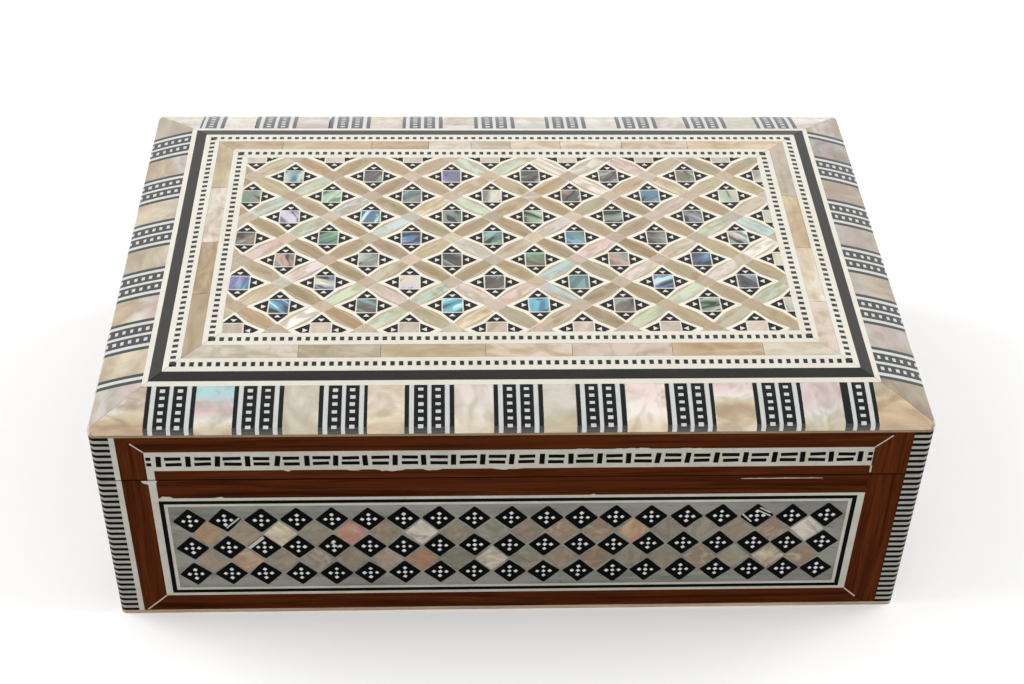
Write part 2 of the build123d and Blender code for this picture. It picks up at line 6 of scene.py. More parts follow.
import bpy
import numpy as np
from mathutils import Euler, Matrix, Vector


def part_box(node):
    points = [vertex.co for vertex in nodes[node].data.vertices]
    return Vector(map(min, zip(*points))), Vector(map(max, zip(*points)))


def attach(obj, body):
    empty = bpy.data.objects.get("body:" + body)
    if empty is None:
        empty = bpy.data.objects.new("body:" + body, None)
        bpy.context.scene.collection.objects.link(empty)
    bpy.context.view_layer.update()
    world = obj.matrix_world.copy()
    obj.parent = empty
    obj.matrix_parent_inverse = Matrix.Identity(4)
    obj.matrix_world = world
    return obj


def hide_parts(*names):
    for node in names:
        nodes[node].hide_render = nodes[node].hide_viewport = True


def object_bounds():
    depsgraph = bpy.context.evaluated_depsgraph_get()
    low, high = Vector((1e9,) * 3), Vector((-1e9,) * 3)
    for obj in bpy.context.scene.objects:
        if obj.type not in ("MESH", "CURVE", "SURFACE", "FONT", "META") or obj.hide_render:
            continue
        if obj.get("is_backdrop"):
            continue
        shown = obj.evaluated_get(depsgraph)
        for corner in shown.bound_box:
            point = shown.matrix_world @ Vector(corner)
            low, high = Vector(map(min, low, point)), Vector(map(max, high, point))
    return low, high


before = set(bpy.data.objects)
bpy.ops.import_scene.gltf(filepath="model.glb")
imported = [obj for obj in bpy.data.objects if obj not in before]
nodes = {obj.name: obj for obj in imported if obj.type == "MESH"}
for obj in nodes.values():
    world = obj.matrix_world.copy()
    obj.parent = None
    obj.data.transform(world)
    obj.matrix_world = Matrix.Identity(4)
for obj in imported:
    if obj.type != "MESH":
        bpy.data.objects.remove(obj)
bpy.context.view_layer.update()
dice = random.Random(7)

# Lengths are in millimetres until a mesh is made.
MM = 0.001
tile_crease, pad_crease = 20, 50  # edges sharper than these angles, in degrees, aren't shaded smooth
width, depth, height = 229.0, 152.0, 80.0
half_x, half_y = width / 2, depth / 2
seam = 55.4
skin = 1.2
rim_bottom, rim_top = 71.5, 72.3
board = 1.4
panel_bottom, panel_top = 7.8, 48.2
strip_bottom, strip_top = 58.9, 66.0
corner_reach = 5.5
edge_strip = 1.5
reveal = 0.2
arch_radius, arch_run = 98.0, 33.0
nose_radius = 1.4
corner_radius = 1.8
edge_band = 13.3
bone_post = 2.1  # the panel's left bone upright on the front, which runs up to the lid's strip
joint = 0.05  # half the gap between two tiles


# --- sides
class Side:
    """One upright side of the box, with places given along it, up it (or in from it) and out of it."""

    def __init__(self, along, out, half, reach, opening):
        self.along, self.out = np.array(along, float), np.array(out, float)
        self.half, self.reach = half, reach
        self.left, self.right = opening

    def face(self, u, w, out):
        x, y = self.along * u + self.out * (self.reach + out)
        return (x, y, w)

    def unfolded(self, point):
        """A point's place along the side, and its height plus its distance in from the middle."""
        x, y, z = point
        return self.along[0] * x + self.along[1] * y, z - self.out[0] * x - self.out[1] * y


sides = {
    "front": Side((1, 0), (0, -1), half_x, half_y, (-100.3, 98.8)),
    "back": Side((-1, 0), (0, 1), half_x, half_y, (-99.55, 99.55)),
    "left": Side((0, -1), (-1, 0), half_y, half_x, (-60.55, 60.55)),
    "right": Side((0, 1), (1, 0), half_y, half_x, (-60.55, 60.55)),
}
front = sides["front"]


def top_face(x, y, up):
    return (x, y, height + up)


# --- profile of the lid's edge
nose_out = (arch_run - nose_radius) / (arch_radius - nose_radius)  # the arch's outward lean at the nose
nose_z = height - arch_radius + math.sqrt((arch_radius - nose_radius) ** 2 - (arch_run - nose_radius) ** 2)
upright = nose_z - rim_top
nose_turn = math.pi / 2 - math.asin(nose_out)
nose_length = nose_radius * nose_turn
nose_lean = math.asin(nose_out)


def profile(s):
    """Distance in from the lid's edge, height, and the outward and upward parts of the normal, at a length
    s up the rim."""
    if s <= upright:
        return 0.0, rim_top + s, 1.0, 0.0
    if s <= upright + nose_length:
        turn = (s - upright) / nose_radius
        out, up = math.cos(turn), math.sin(turn)
        return nose_radius * (1 - out), nose_z + nose_radius * up, out, up
    lean = nose_lean - (s - upright - nose_length) / arch_radius
    if lean <= 0:
        return arch_run + (-lean) * arch_radius, height, 0.0, 1.0
    out, up = math.sin(lean), math.cos(lean)
    return arch_run - arch_radius * out, height - arch_radius * (1 - up), out, up


def length_at(v):
    """Length up the rim's profile at a distance v in from the edge, past the nose."""
    if v >= arch_run:
        return upright + nose_length + arch_radius * nose_lean + v - arch_run
    return upright + nose_length + arch_radius * (nose_lean - math.asin((arch_run - v) / arch_radius))


rim_length = length_at(edge_band)


def rim_point(side, u, s, out, rounded=True):
    """A point on the lid's edge: u along the side, s up the profile, out above the surface."""
    v, z, lean_out, lean_up = profile(s)
    radius = max(corner_radius * (1 - v / edge_band), 0.0) if rounded else 0.0
    straight = side.half - v - radius
    over = abs(u) - straight
    turn = 0.0
    along, inward = u, v
    if rounded and radius > 0 and over > 0:
        turn = min(over / radius, math.pi / 4)
        along = math.copysign(straight + radius * math.sin(turn), u)
        inward = v + radius * (1 - math.cos(turn))
    shift = out * lean_out
    along += math.copysign(math.sin(turn) * shift, u) if turn else 0.0
    inward -= math.cos(turn) * shift
    x, y = side.along * along + side.out * (side.reach - inward)
    return (x, y, z + out * lean_up)


def rim_reach(side, s):
    """How far along the side the lid's edge runs to its mitre, measured round the corner."""
    v = profile(s)[0]
    radius = max(corner_radius * (1 - v / edge_band), 0.0)
    return side.half - v - radius + radius * math.pi / 4


# --- outlines
def area(outline):
    return sum(a[0] * b[1] - b[0] * a[1] for a, b in zip(outline, outline[1:] + outline[:1])) / 2


def shrink(outline, amount):
    """The outline with each edge moved in by an amount. It runs anticlockwise."""
    moved = []
    count = len(outline)
    for n in range(count):
        (ax, ay), (bx, by), (cx, cy) = outline[n - 1], outline[n], outline[(n + 1) % count]
        first, second = Vector((bx - ax, by - ay)).normalized(), Vector((cx - bx, cy - by)).normalized()
        turn = max(1 + first.dot(second), 0.15)
        moved.append((bx - amount * (first.y + second.y) / turn, by + amount * (first.x + second.x) / turn))
    return moved


def clip(outline, low, high):
    """The part of an outline inside a rectangle."""
    for axis, limit, keep in ((0, low[0], 1), (0, high[0], -1), (1, low[1], 1), (1, high[1], -1)):
        kept = []
        for a, b in zip(outline, outline[1:] + outline[:1]):
            inside_a, inside_b = keep * (a[axis] - limit) >= 0, keep * (b[axis] - limit) >= 0
            if inside_a:
                kept.append(a)
            if inside_a != inside_b:
                share = (limit - a[axis]) / (b[axis] - a[axis])
                kept.append(tuple(a[k] + share * (b[k] - a[k]) for k in (0, 1)))
        outline = kept
        if len(outline) < 3:
            return []
    tidy = [p for n, p in enumerate(outline) if math.dist(p, outline[n - 1]) > 0.02]
    return tidy if len(tidy) > 2 and abs(area(tidy)) > 0.05 else []


def rectangle(left, bottom, right, top):
    return [(left, bottom), (right, bottom), (right, top), (left, top)]


def turned(outline, angle, x, y):
    c, s = math.cos(angle), math.sin(angle)
    return [(x + c * a - s * b, y + s * a + c * b) for a, b in outline]


def centred(half_u, half_w, angle, x, y):
    """A rectangle about a point."""
    return turned(rectangle(-half_u, -half_w, half_u, half_w), angle, x, y)


def rhombus(half_u, half_w, x=0.0, y=0.0, angle=0.0):
    return turned([(half_u, 0), (0, half_w), (-half_u, 0), (0, -half_w)], angle, x, y)


def steps(low, high, pitch, bevel=0.06):
    """Grid values from low to high with a narrow first and last step for the soft edge."""
    count = max(1, round((high - low) / pitch))
    inner = [low + bevel + (high - low - 2 * bevel) * n / count for n in range(count + 1)]
    return [low] + inner + [high]


def soft(low, high, edge=0.05):
    """The grid values of one step with soft edges."""
    return [low, low + edge, high - edge, high]


# --- objects and tiles
def new_object(name, data):
    made = bpy.data.objects.new(name, data)
    bpy.context.scene.collection.objects.link(made)
    return made


def new_piece(name, points, faces, material, sharp):
    """An object from points in millimetres, shaded smooth but for the edges sharper than an angle."""
    mesh = bpy.data.meshes.new(name)
    mesh.from_pydata([(x * MM, y * MM, z * MM) for x, y, z in points], [], faces)
    mesh.materials.append(material)
    mesh.shade_smooth()
    mesh.set_sharp_from_angle(angle=math.radians(sharp))
    return new_object(name, mesh)


def slab_faces(rows, columns, start=0):
    """Faces of a closed slab between two grids of points, whose numbers begin at start."""

    def at(i, j, level):
        return start + (level * rows + i) * columns + j

    faces = []
    for i in range(rows - 1):
        for j in range(columns - 1):
            faces.append([at(i, j, 0), at(i + 1, j, 0), at(i + 1, j + 1, 0), at(i, j + 1, 0)])
            faces.append([at(i, j, 1), at(i, j + 1, 1), at(i + 1, j + 1, 1), at(i + 1, j, 1)])
    loop = [(i, 0) for i in range(rows - 1)] + [(rows - 1, j) for j in range(columns - 1)]
    loop += [(i, columns - 1) for i in range(rows - 1, 0, -1)] + [(0, j) for j in range(columns - 1, 0, -1)]
    for a, b in zip(loop, loop[1:] + loop[:1]):
        faces.append([at(*a, 0), at(*a, 1), at(*b, 1), at(*b, 0)])
    return faces


def strayed(spot, far_u, far_w):
    return spot[0] + dice.uniform(-far_u, far_u), spot[1] + dice.uniform(-far_w, far_w)


def loose(angle, reach=500):
    """A tile's grain: its angle, and a random place in the pattern."""
    return (angle, dice.uniform(-reach, reach), dice.uniform(-reach, reach))


class Tiles:
    """Closed tiles gathered into one mesh. Each carries a mark of four numbers and its own grain."""

    def __init__(self):
        self.points, self.faces, self.marks, self.grains = [], [], [], []

    def add(self, point, u, w, mark, grain):
        angle, shift_u, shift_w = grain
        c, s = math.cos(angle), math.sin(angle)
        self.points.append(point)
        self.grains.append((c * u + s * w + shift_u, c * w - s * u + shift_w, 0.0))
        self.marks.append(mark)

    def some(self, mark, grain):
        """The mark and the grain given, or random ones."""
        mark = mark or tuple(dice.random() for _ in range(4))
        return mark, grain or loose(dice.uniform(0, math.pi))

    def flat(self, place, outline, rise=0.0, thick=0.8, bevel=0.05, mark=None, grain=None):
        """A flat tile with softened edges. place turns two coordinates and a height into a point."""
        mark, grain = self.some(mark, grain)
        if area(outline) < 0:
            outline = outline[::-1]
        start, count = len(self.points), len(outline)
        for ring, level in ((shrink(outline, bevel), rise), (outline, rise - bevel), (outline, rise - thick)):
            for u, w in ring:
                self.add(place(u, w, level), u, w, mark, grain)
        self.faces.append([start + n for n in range(count)])
        for a in (start, start + count):
            for n in range(count):
                m = (n + 1) % count
                self.faces.append([a + n, a + count + n, a + count + m, a + m])
        self.faces.append([start + 2 * count + n for n in reversed(range(count))])

    def curved(self, place, us, ss, rise=0.0, thick=0.8, bevel=0.05, mark=None, grain=None):
        """A tile on a curved surface, from place(u, s, height) over a grid whose outer rows make the soft
        edge. Its mark may be a function of the share up the tile."""
        shade = mark if callable(mark) else None
        mark, grain = self.some(None if shade else mark, grain)
        start, rows, columns = len(self.points), len(us), len(ss)
        for level in (0, 1):
            for i, u in enumerate(us):
                for j, s in enumerate(ss):
                    edge = i in (0, rows - 1) or j in (0, columns - 1)
                    low = rise - thick if level else rise - (bevel if edge else 0)
                    self.add(place(u, s, low), u, s, shade(j / (columns - 1)) if shade else mark, grain)
        self.faces += slab_faces(rows, columns, start)

    def build(self, name, material, body, slot, *replaced):
        piece = new_piece(name, self.points, self.faces, material, tile_crease)
        mark = piece.data.attributes.new("tile", "FLOAT_COLOR", "POINT")
        mark.data.foreach_set("color", np.array(self.marks, np.float32).ravel())
        grain = piece.data.attributes.new("grain", "FLOAT_VECTOR", "POINT")
        grain.data.foreach_set("vector", np.array(self.grains, np.float32).ravel())
        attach(piece, body)
        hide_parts(*replaced)


# --- materials
class Finish:
    """A material on one Principled shader, with short calls for the nodes that feed it."""

    def __init__(self, name, **values):
        self.material = bpy.data.materials.new(name)
        self.material.use_nodes = True
        self.tree = self.material.node_tree
        self.shader = self.tree.nodes["Principled BSDF"]
        for key, value in values.items():
            self.shader.inputs[key.replace("_", " ")].default_value = value

    def node(self, kind, inputs=None, **settings):
        made = self.tree.nodes.new("ShaderNode" + kind)
        for key, value in settings.items():
            setattr(made, key, value)
        for key, value in (inputs or {}).items():
            self.feed(made.inputs[key], value)
        return made

    def feed(self, socket, value):
        if isinstance(value, bpy.types.NodeSocket):
            self.tree.links.new(value, socket)
        else:
            socket.default_value = value

    def out(self, socket, value):
        self.feed(self.shader.inputs[socket], value)

    def where(self, scale=(1, 1, 1)):
        """Object coordinates in millimetres, scaled."""
        inputs = {"Vector": self.node("TexCoord").outputs["Object"], "Scale": [value / MM for value in scale]}
        return self.node("Mapping", inputs).outputs["Vector"]

    def grain(self, scale):
        """A tile's own coordinates in millimetres, scaled."""
        spot = self.node("Attribute", attribute_name="grain").outputs["Vector"]
        return self.node("Mapping", {"Vector": spot, "Scale": scale}).outputs["Vector"]

    def tile(self):
        """The four numbers that each tile carries."""
        mark = self.node("Attribute", attribute_name="tile")
        parts = self.node("SeparateColor", {"Color": mark.outputs["Color"]}).outputs
        return parts[0], parts[1], parts[2], mark.outputs["Alpha"]

    def noise(self, vector, scale, detail=3.0, rough=0.55, twist=0.0):
        inputs = {"Vector": vector, "Scale": scale, "Detail": detail, "Roughness": rough, "Distortion": twist}
        return self.node("TexNoise", inputs).outputs["Fac"]

    def ramp(self, value, stops):
        made = self.node("ValToRGB", {"Fac": value})
        elements = made.color_ramp.elements
        while len(elements) < len(stops):
            elements.new(0.5)
        for element, (place, colour) in zip(elements, stops):
            element.position = place
            element.color = rgb(*colour)
        return made.outputs["Color"]

    def mask(self, value, low, high):
        inputs = {"Value": value, "From Min": low, "From Max": high}
        return self.node("MapRange", inputs).outputs["Result"]

    def math(self, how, a, b, c=0.0):
        return self.node("Math", {0: a, 1: b, 2: c}, operation=how).outputs[0]

    def add(self, a, b):
        return self.math("ADD", a, b)

    def times(self, a, b):
        return self.math("MULTIPLY", a, b)

    def line(self, value, gain, start):
        return self.math("MULTIPLY_ADD", value, gain, start)

    def swayed(self, share, value, reach):
        """A share moved up and down by a noise value."""
        return self.add(share, self.line(value, 2 * reach, -reach))

    def mix(self, share, a, b, how="MIX"):
        made = self.node("Mix", data_type="RGBA", blend_type=how)
        for place, value in ((0, share), (6, a), (7, b)):
            self.feed(made.inputs[place], value)
        return made.outputs[2]

    def stained(self, colour, tint, value, low, high, share=1.0):
        """A colour with a tint over it where a noise value goes from low to high."""
        return self.mix(self.times(self.mask(value, low, high), share), colour, tint)

    def shaded(self, colour, level):
        grey = self.node("CombineColor", {0: level, 1: level, 2: level}).outputs[0]
        return self.mix(1.0, colour, grey, "MULTIPLY")

    def bump(self, value, distance, strength):
        inputs = {"Height": value, "Distance": distance * MM, "Strength": strength}
        self.out("Normal", self.node("Bump", inputs).outputs["Normal"])


def rgb(*display):
    """A display colour, 0 to 255, as the linear one with alpha that shaders take."""
    shares = [value / 255 for value in display]
    return (*(c / 12.92 if c <= 0.04045 else ((c + 0.055) / 1.055) ** 2.4 for c in shares), 1)


def even_stops(colours):
    return [(n / (len(colours) - 1), colour) for n, colour in enumerate(colours)]


pearl_hues = [
    (0.0, (204, 164, 126)),  # tan
    (0.2, (228, 214, 180)),  # yellow
    (0.4, (246, 245, 240)),  # white
    (0.6, (232, 202, 206)),  # pink
    (0.8, (182, 230, 238)),  # cyan
    (1.0, (206, 224, 196)),  # green
]


def pearl(name, palette, silk_depth, flash_gain, stretch=(0.16, 1.0, 1), pitch=0.50, coat=0.5):
    """Mother of pearl under lacquer. A tile's numbers are its body colour, its lightness, how much it
    flashes, and the colour of the flash. Its streaks run along the first of its own coordinates."""
    finish = Finish(name, Roughness=0.26, IOR=1.5, Coat_Weight=coat, Coat_Roughness=0.06)
    body, level, flash, hue = finish.tile()
    silk = finish.noise(finish.grain(stretch), pitch, 2, 0.45, 0.8)
    fine = finish.noise(finish.grain((0.25, 2.0, 1)), 0.9, 3, 0.55, 0.4)
    cloud = finish.noise(finish.grain((0.6, 0.8, 1)), 0.22, 2, 0.5, 1.4)
    colour = finish.ramp(finish.swayed(body, cloud, 0.3), even_stops(palette))
    shades = finish.ramp(finish.swayed(hue, silk, 0.22), pearl_hues)
    spread = finish.mask(finish.add(cloud, finish.times(silk, 0.6)), 0.62, 0.90)
    amount = finish.times(flash, finish.line(spread, 0.6, 0.4))
    colour = finish.mix(finish.times(amount, flash_gain), colour, shades)
    lightness = finish.line(silk, silk_depth, finish.line(level, 0.24, 0.88 - silk_depth / 2))
    lightness = finish.add(lightness, finish.line(fine, 0.08, -0.04))
    finish.out("Base Color", finish.shaded(colour, lightness))
    finish.out("Roughness", finish.line(fine, 0.22, 0.12))
    finish.bump(cloud, 0.30, 0.5)
    return finish.material


shell_colours = {
    "G": (92, 146, 94),
    "L": (176, 194, 166),
    "T": (84, 126, 124),
    "B": (54, 108, 150),
    "C": (96, 190, 204),
    "V": (124, 104, 168),
    "P": (196, 160, 144),
    "S": (98, 98, 118),
    "K": (46, 42, 40),
    "D": (82, 74, 68),
    "N": (122, 108, 94),
    "O": (106, 98, 70),
    "W": (212, 202, 180),
    "I": (204, 194, 212),
    "Y": (138, 138, 130),
    "A": (38, 52, 90),
}


def shell_mark(first, second, glint):
    """The numbers that a piece of abalone carries: its two colours, its glint and its lightness."""
    order = list(shell_colours)
    last = len(order) - 1
    return (order.index(first) / last, glint, dice.random(), order.index(second) / last)


def abalone(name):
    """Dark shell with smooth diagonal bands of two colours, dark seams and a few bright streaks."""
    finish = Finish(name, Roughness=0.22, Coat_Weight=0.7, Coat_Roughness=0.06)
    first, glint, level, second = finish.tile()
    stops = even_stops(shell_colours.values())
    swirl = finish.noise(finish.grain((0.5, 1.2, 1)), 0.20, 1, 0.4, 0.5)
    seams = finish.noise(finish.grain((0.45, 1.7, 1)), 0.20, 2, 0.45, 0.7)
    colour = finish.stained(finish.ramp(first, stops), finish.ramp(second, stops), swirl, 0.40, 0.60)
    colour = finish.mix(0.2, colour, rgb(104, 100, 92))
    colour = finish.stained(colour, rgb(30, 30, 30), seams, 0.44, 0.34)
    streaks = finish.line(glint, 0.9, 0.1)
    colour = finish.stained(colour, rgb(196, 232, 232), seams, 0.55, 0.64, streaks)
    finish.out("Base Color", finish.shaded(colour, finish.line(level, 0.3, 0.85)))
    finish.bump(seams, 0.04, 0.3)
    return finish.material


def plain_inlay(name, colour, stain, dark, gloss, spread, specular=0.5, coat=(0, 0), stretch=(1, 1, 1)):
    """Bone, filler or ebony: an even colour with faint stains, specks and a slightly uneven polish."""
    coat = {"Coat_Weight": coat[0], "Coat_Roughness": coat[1]}
    finish = Finish(name, Roughness=gloss, Specular_IOR_Level=specular, **coat)
    cloud = finish.noise(finish.where(stretch), 0.12, 4, 0.6)
    specks = finish.noise(finish.where(stretch), 1.3, 4, 0.7)
    shade = finish.stained(rgb(*colour), rgb(*stain), cloud, 0.42, 0.68, spread)
    finish.out("Base Color", finish.stained(shade, rgb(*dark), specks, 0.60, 0.72, spread))
    finish.out("Roughness", finish.line(specks, 0.25, gloss - 0.1))
    finish.bump(specks, 0.03, 0.3)
    return finish.material


def wood(name, light, middle, deep, along, gloss, specular=0.5):
    """Straight-grained wood. along is the grain's axis, or None for pieces that carry their own grain."""
    finish = Finish(name, Roughness=gloss, Specular_IOR_Level=specular)

    def fibres(slow, fast, *pattern):
        scales = [slow if axis == (along or 0) else fast for axis in range(3)]
        return finish.noise(finish.grain(scales) if along is None else finish.where(scales), *pattern)

    rings = fibres(0.018, 0.5, 0.9, 5, 0.62, 0.8)
    lines = fibres(0.03, 1.6, 1.6, 4, 0.6, 0.2)
    flecks = fibres(0.10, 2.6, 2.2, 3, 0.55, 0.1)
    colour = finish.ramp(rings, [(0.30, deep), (0.48, middle), (0.62, light), (0.74, middle)])
    colour = finish.stained(colour, rgb(*deep), lines, 0.54, 0.34, 0.55)
    colour = finish.stained(colour, rgb(*(0.45 * v for v in deep)), flecks, 0.60, 0.70, 0.5)
    if along is None:
        colour = finish.shaded(colour, finish.line(finish.tile()[1], 0.5, 0.75))
    finish.out("Base Color", colour)
    finish.out("Roughness", finish.line(lines, 0.3, gloss - 0.12))
    finish.bump(finish.mask(flecks, 0.70, 0.40), 0.05, 0.35)
    return finish.material


def velvet(name):
    """Short red pile, brushed in soft patches, with a bright sheen."""
    sheen = {"Sheen_Weight": 1.0, "Sheen_Roughness": 0.35, "Sheen_Tint": (0.95, 0.35, 0.35, 1)}
    finish = Finish(name, Roughness=0.9, Specular_IOR_Level=0.1, **sheen)
    brushed = finish.noise(finish.where((1, 0.6, 1)), 0.05, 4, 0.55, 1.2)
    pile = finish.noise(finish.where(), 3.2, 3, 0.7)
    colour = finish.ramp(brushed, [(0.35, (92, 10, 18)), (0.52, (126, 16, 26)), (0.66, (160, 30, 38))])
    finish.out("Base Color", finish.stained(colour, rgb(60, 4, 10), pile, 0.55, 0.35, 0.5))
    finish.bump(pile, 0.18, 0.8)
    return finish.material


def brass(name):
    """Drawn brass: fine scratches along it and a brown film in patches."""
    finish = Finish(name, Metallic=1.0)
    film = finish.noise(finish.where(), 0.6, 4, 0.6)
    scratches = finish.noise(finish.where((0.15, 4, 4)), 2.0, 3, 0.6)
    finish.out("Base Color", finish.stained(rgb(214, 172, 96), rgb(150, 108, 56), film, 0.45, 0.70))
    finish.out("Roughness", finish.line(scratches, 0.35, 0.14))
    finish.bump(scratches, 0.02, 0.4)
    return finish.material


ribbon_pearl = pearl(
    "ribbon_pearl",
    [(148, 122, 84), (160, 134, 97), (144, 124, 90), (164, 149, 112), (152, 128, 93), (146, 141, 110)],
    0.36,
    0.80,
)
flank_shades = [(164, 144, 110), (176, 158, 126), (158, 145, 115), (168, 147, 114)]
flank_pearl = pearl("flank_pearl", flank_shades, 0.28, 0.45)
plate_pearl = pearl("plate_pearl", [(170, 149, 123), (178, 157, 134), (162, 143, 118)], 0.24, 0.3)
rim_pearl = pearl(
    "rim_pearl",
    [(160, 136, 108), (174, 152, 127), (182, 168, 148), (168, 160, 140), (172, 146, 121)],
    0.42,
    0.80,
    (0.5, 0.9, 1),
    0.13,
    1.0,
)
border_pearl = pearl(
    "border_pearl",
    [(150, 121, 86), (162, 137, 102), (174, 153, 122), (152, 139, 108), (158, 128, 94)],
    0.40,
    0.6,
    (0.2, 0.8, 1),
    0.30,
)
panel_colours = {
    "p": (144, 84, 66),
    "o": (130, 98, 54),
    "b": (122, 104, 78),
    "g": (96, 86, 66),
    "n": (78, 82, 64),
    "k": (116, 96, 74),
    "r": (106, 82, 56),
    "w": (140, 128, 106),
}
panel_pearl = pearl("panel_pearl", list(panel_colours.values()), 0.62, 0.45, (0.5, 0.9, 1), 0.45)
shell = abalone("abalone_shell")
lacquer, thin_lacquer, wet_lacquer = (0.5, 0.07), (0.15, 0.1), (0.5, 0.05)
bone_top = plain_inlay("bone_top", (216, 213, 202), (204, 196, 176), (160, 146, 122), 0.3, 0.40, 0.5, lacquer)
bone_rim = plain_inlay("bone_rim", (198, 201, 199), (182, 183, 177), (146, 140, 126), 0.3, 0.40, 0.5, lacquer)
bone_side = plain_inlay("bone_side", (176, 173, 163), (156, 151, 138), (112, 104, 90), 0.4, 0.5, 0.15)
bone_dots = plain_inlay("bone_dots", (206, 205, 204), (188, 186, 182), (140, 136, 128), 0.4, 0.5, 0.1)
# bone_line is a bone darkened to paint shade along the lid's lower edge
bone_line = plain_inlay("bone_line", (134, 118, 92), (108, 92, 68), (66, 52, 36), 0.4, 0.5, 0.1)
bone_corner = plain_inlay("bone_corner", (150, 148, 141), (132, 128, 118), (92, 86, 74), 0.4, 0.5, 0.1)
ebony_top = plain_inlay("ebony_top", (40, 40, 39), (50, 48, 45), (64, 62, 58), 0.3, 0.4, 0.35, thin_lacquer)
ebony_rim = plain_inlay("ebony_rim", (26, 27, 29), (36, 35, 34), (52, 50, 48), 0.2, 0.35, 0.5, wet_lacquer)
ebony_star = plain_inlay("ebony_star", (19, 19, 21), (30, 30, 29), (46, 44, 42), 0.25, 0.4, 0.3)
ebony_side = plain_inlay("ebony_side", (4, 4, 4), (9, 8, 7), (22, 18, 16), 0.4, 0.35, 0.02)
filler_shades = (228, 223, 208), (208, 199, 180), (156, 144, 122)
filler_top = plain_inlay("filler_top", *filler_shades, 0.35, 0.45, 0.5, lacquer)
filler_shades = (128, 128, 120), (90, 88, 82), (52, 50, 46)
filler_side = plain_inlay("filler_side", *filler_shades, 0.45, 0.85, 0.12, stretch=(0.25, 0.25, 1.5))
frame_wood = wood("frame_wood", (84, 41, 19), (71, 33, 15), (44, 18, 8), None, 0.45, 0.0)
carcass_x, carcass_y = (
    wood(f"carcass_{letter}", (206, 170, 122), (186, 146, 98), (150, 108, 66), axis, 0.6)
    for axis, letter in enumerate("xy")
)
board_wood = wood("board_wood", (188, 166, 142), (168, 146, 122), (128, 102, 78), 0, 0.7)
velvet_red = velvet("red_velvet")
hinge_brass = brass("hinge_brass")


# --- nodes that keep their CAD shape
def dress(material, *names):
    for name in names:
        mesh = nodes[name].data
        mesh.materials.clear()
        mesh.materials.append(material)


dress(board_wood, "base_bottom_board")
dress(carcass_x, "base_front_wall", "base_back_wall", "lid_front_rail", "lid_back_rail", "lid_top_board")
dress(carcass_y, "base_left_wall", "base_right_wall", "lid_left_rail", "lid_right_rail")
dress(ebony_side, "base_corner_ebony_layers", "lid_corner_ebony_layers")
dress(bone_corner, "base_corner_bone_layers", "lid_corner_bone_layers")
# the rim line is painted in shade with the darkened bone
dress(bone_line, "lid_rim_line")
dress(bone_side, "base_outer_bone_string", "base_inner_bone_string")
dress(bone_side, "base_bone_edge_strip", "lid_bone_edge_strip")
dress(bone_top, *(f"lid_{order}_bone_line" for order in ("first", "second", "third", "fourth", "fifth")))
dress(ebony_top, "lid_ebony_border")
hinge_parts = ("base_leaf", "lid_leaf", "pin")
dress(hinge_brass, *(f"{hand}_hinge_{part}" for hand in ("left", "right") for part in hinge_parts))
dress(hinge_brass, "base_hinge_screws", "lid_hinge_screws")

# --- upright frames of wood
LEVEL, UPRIGHT = 0.0, math.pi / 2  # grain directions
opening_stop = math.radians(103)  # the bevels along the back of the seam would meet here


def frame_pieces(side, edge, opening, band, end):
    """Outlines of the four frame pieces of one side of the base or the lid, with their grain. The heights are
    those of its outer edge, of its opening, and of the band from the panel or strip to the seam."""
    left, right, far = side.left, side.right, side.half - corner_reach
    left_end, band_left = -far, left
    if side is front:
        left_end, band_left = edge_strip - far, left + bone_post
    mitre = abs(opening - edge)
    near_corner, far_corner = (left - mitre, edge), (right + mitre, edge)
    return [
        ([near_corner, far_corner, (right, opening), (left, opening)], LEVEL),
        (rectangle(band_left, band, right, end), LEVEL),
        ([(left_end, edge), near_corner, (left, opening), (left, end), (left_end, end)], UPRIGHT),
        ([far_corner, (far, edge), (far, end), (right, end), (right, opening)], UPRIGHT),
    ]


def swinging_face(side, direction):
    """A side's face for the frames. At the back they lean away from the seam, so that the lid can swing."""
    if side is not sides["back"]:
        return side.face

    def beveled(u, w, out):
        edge = seam + direction * (skin + out) * math.tan(opening_stop / 2)
        return side.face(u, max(w, edge) if direction > 0 else min(w, edge), out)

    return beveled


base_frames, lid_frames = Tiles(), Tiles()
halves = [
    (base_frames, -1, (board, panel_bottom, panel_top, seam - reveal)),
    (lid_frames, 1, (rim_bottom, strip_top, strip_bottom, seam + reveal)),
]
for side in sides.values():
    for tiles, direction, heights in halves:
        for outline, angle in frame_pieces(side, *heights):
            mark = (dice.random(), dice.uniform(0.3, 0.7), dice.random(), 1.0)
            tiles.flat(swinging_face(side, direction), outline, 0.0, skin, 0.08, mark, loose(angle, 900))
base_frames.build("base_frames", frame_wood, "base", "frame_wood", *(f"base_{name}_frame" for name in sides))
lid_frames.build("lid_frames", frame_wood, "lid", "frame_wood", "lid_wood_frames")

# pale filler in the front's mitres and in chips along its joints
base_chips, lid_chips = Tiles(), Tiles()


def filler_line(tiles, start, end, wide):
    """A thin line of filler set into the front."""
    (ax, ay), (bx, by) = start, end
    angle = math.atan2(by - ay, bx - ax)
    outline = centred(math.dist(start, end) / 2, wide / 2, angle, (ax + bx) / 2, (ay + by) / 2)
    tiles.flat(front.face, outline, 0.02, 0.3, 0.02)


def chips(tiles, left, right, joint_height, direction, depth):
    """Ragged filler along a joint, which reaches up (direction 1) or down (-1) by uneven amounts."""
    count = max(4, round((right - left) / 0.9))
    us = [left + (right - left) * n / count for n in range(count + 1)]
    fades = [max(math.sin(math.pi * n / count), 0.0) ** 0.5 for n in range(count + 1)]
    reach = direction * depth
    ragged = [(u, joint_height + reach * fade * dice.uniform(0.25, 1.0)) for u, fade in zip(us, fades)]
    outline = [(u, joint_height - direction * 0.15) for u in us] + ragged[::-1]
    tiles.flat(front.face, outline, 0.02, 0.3, 0.01)


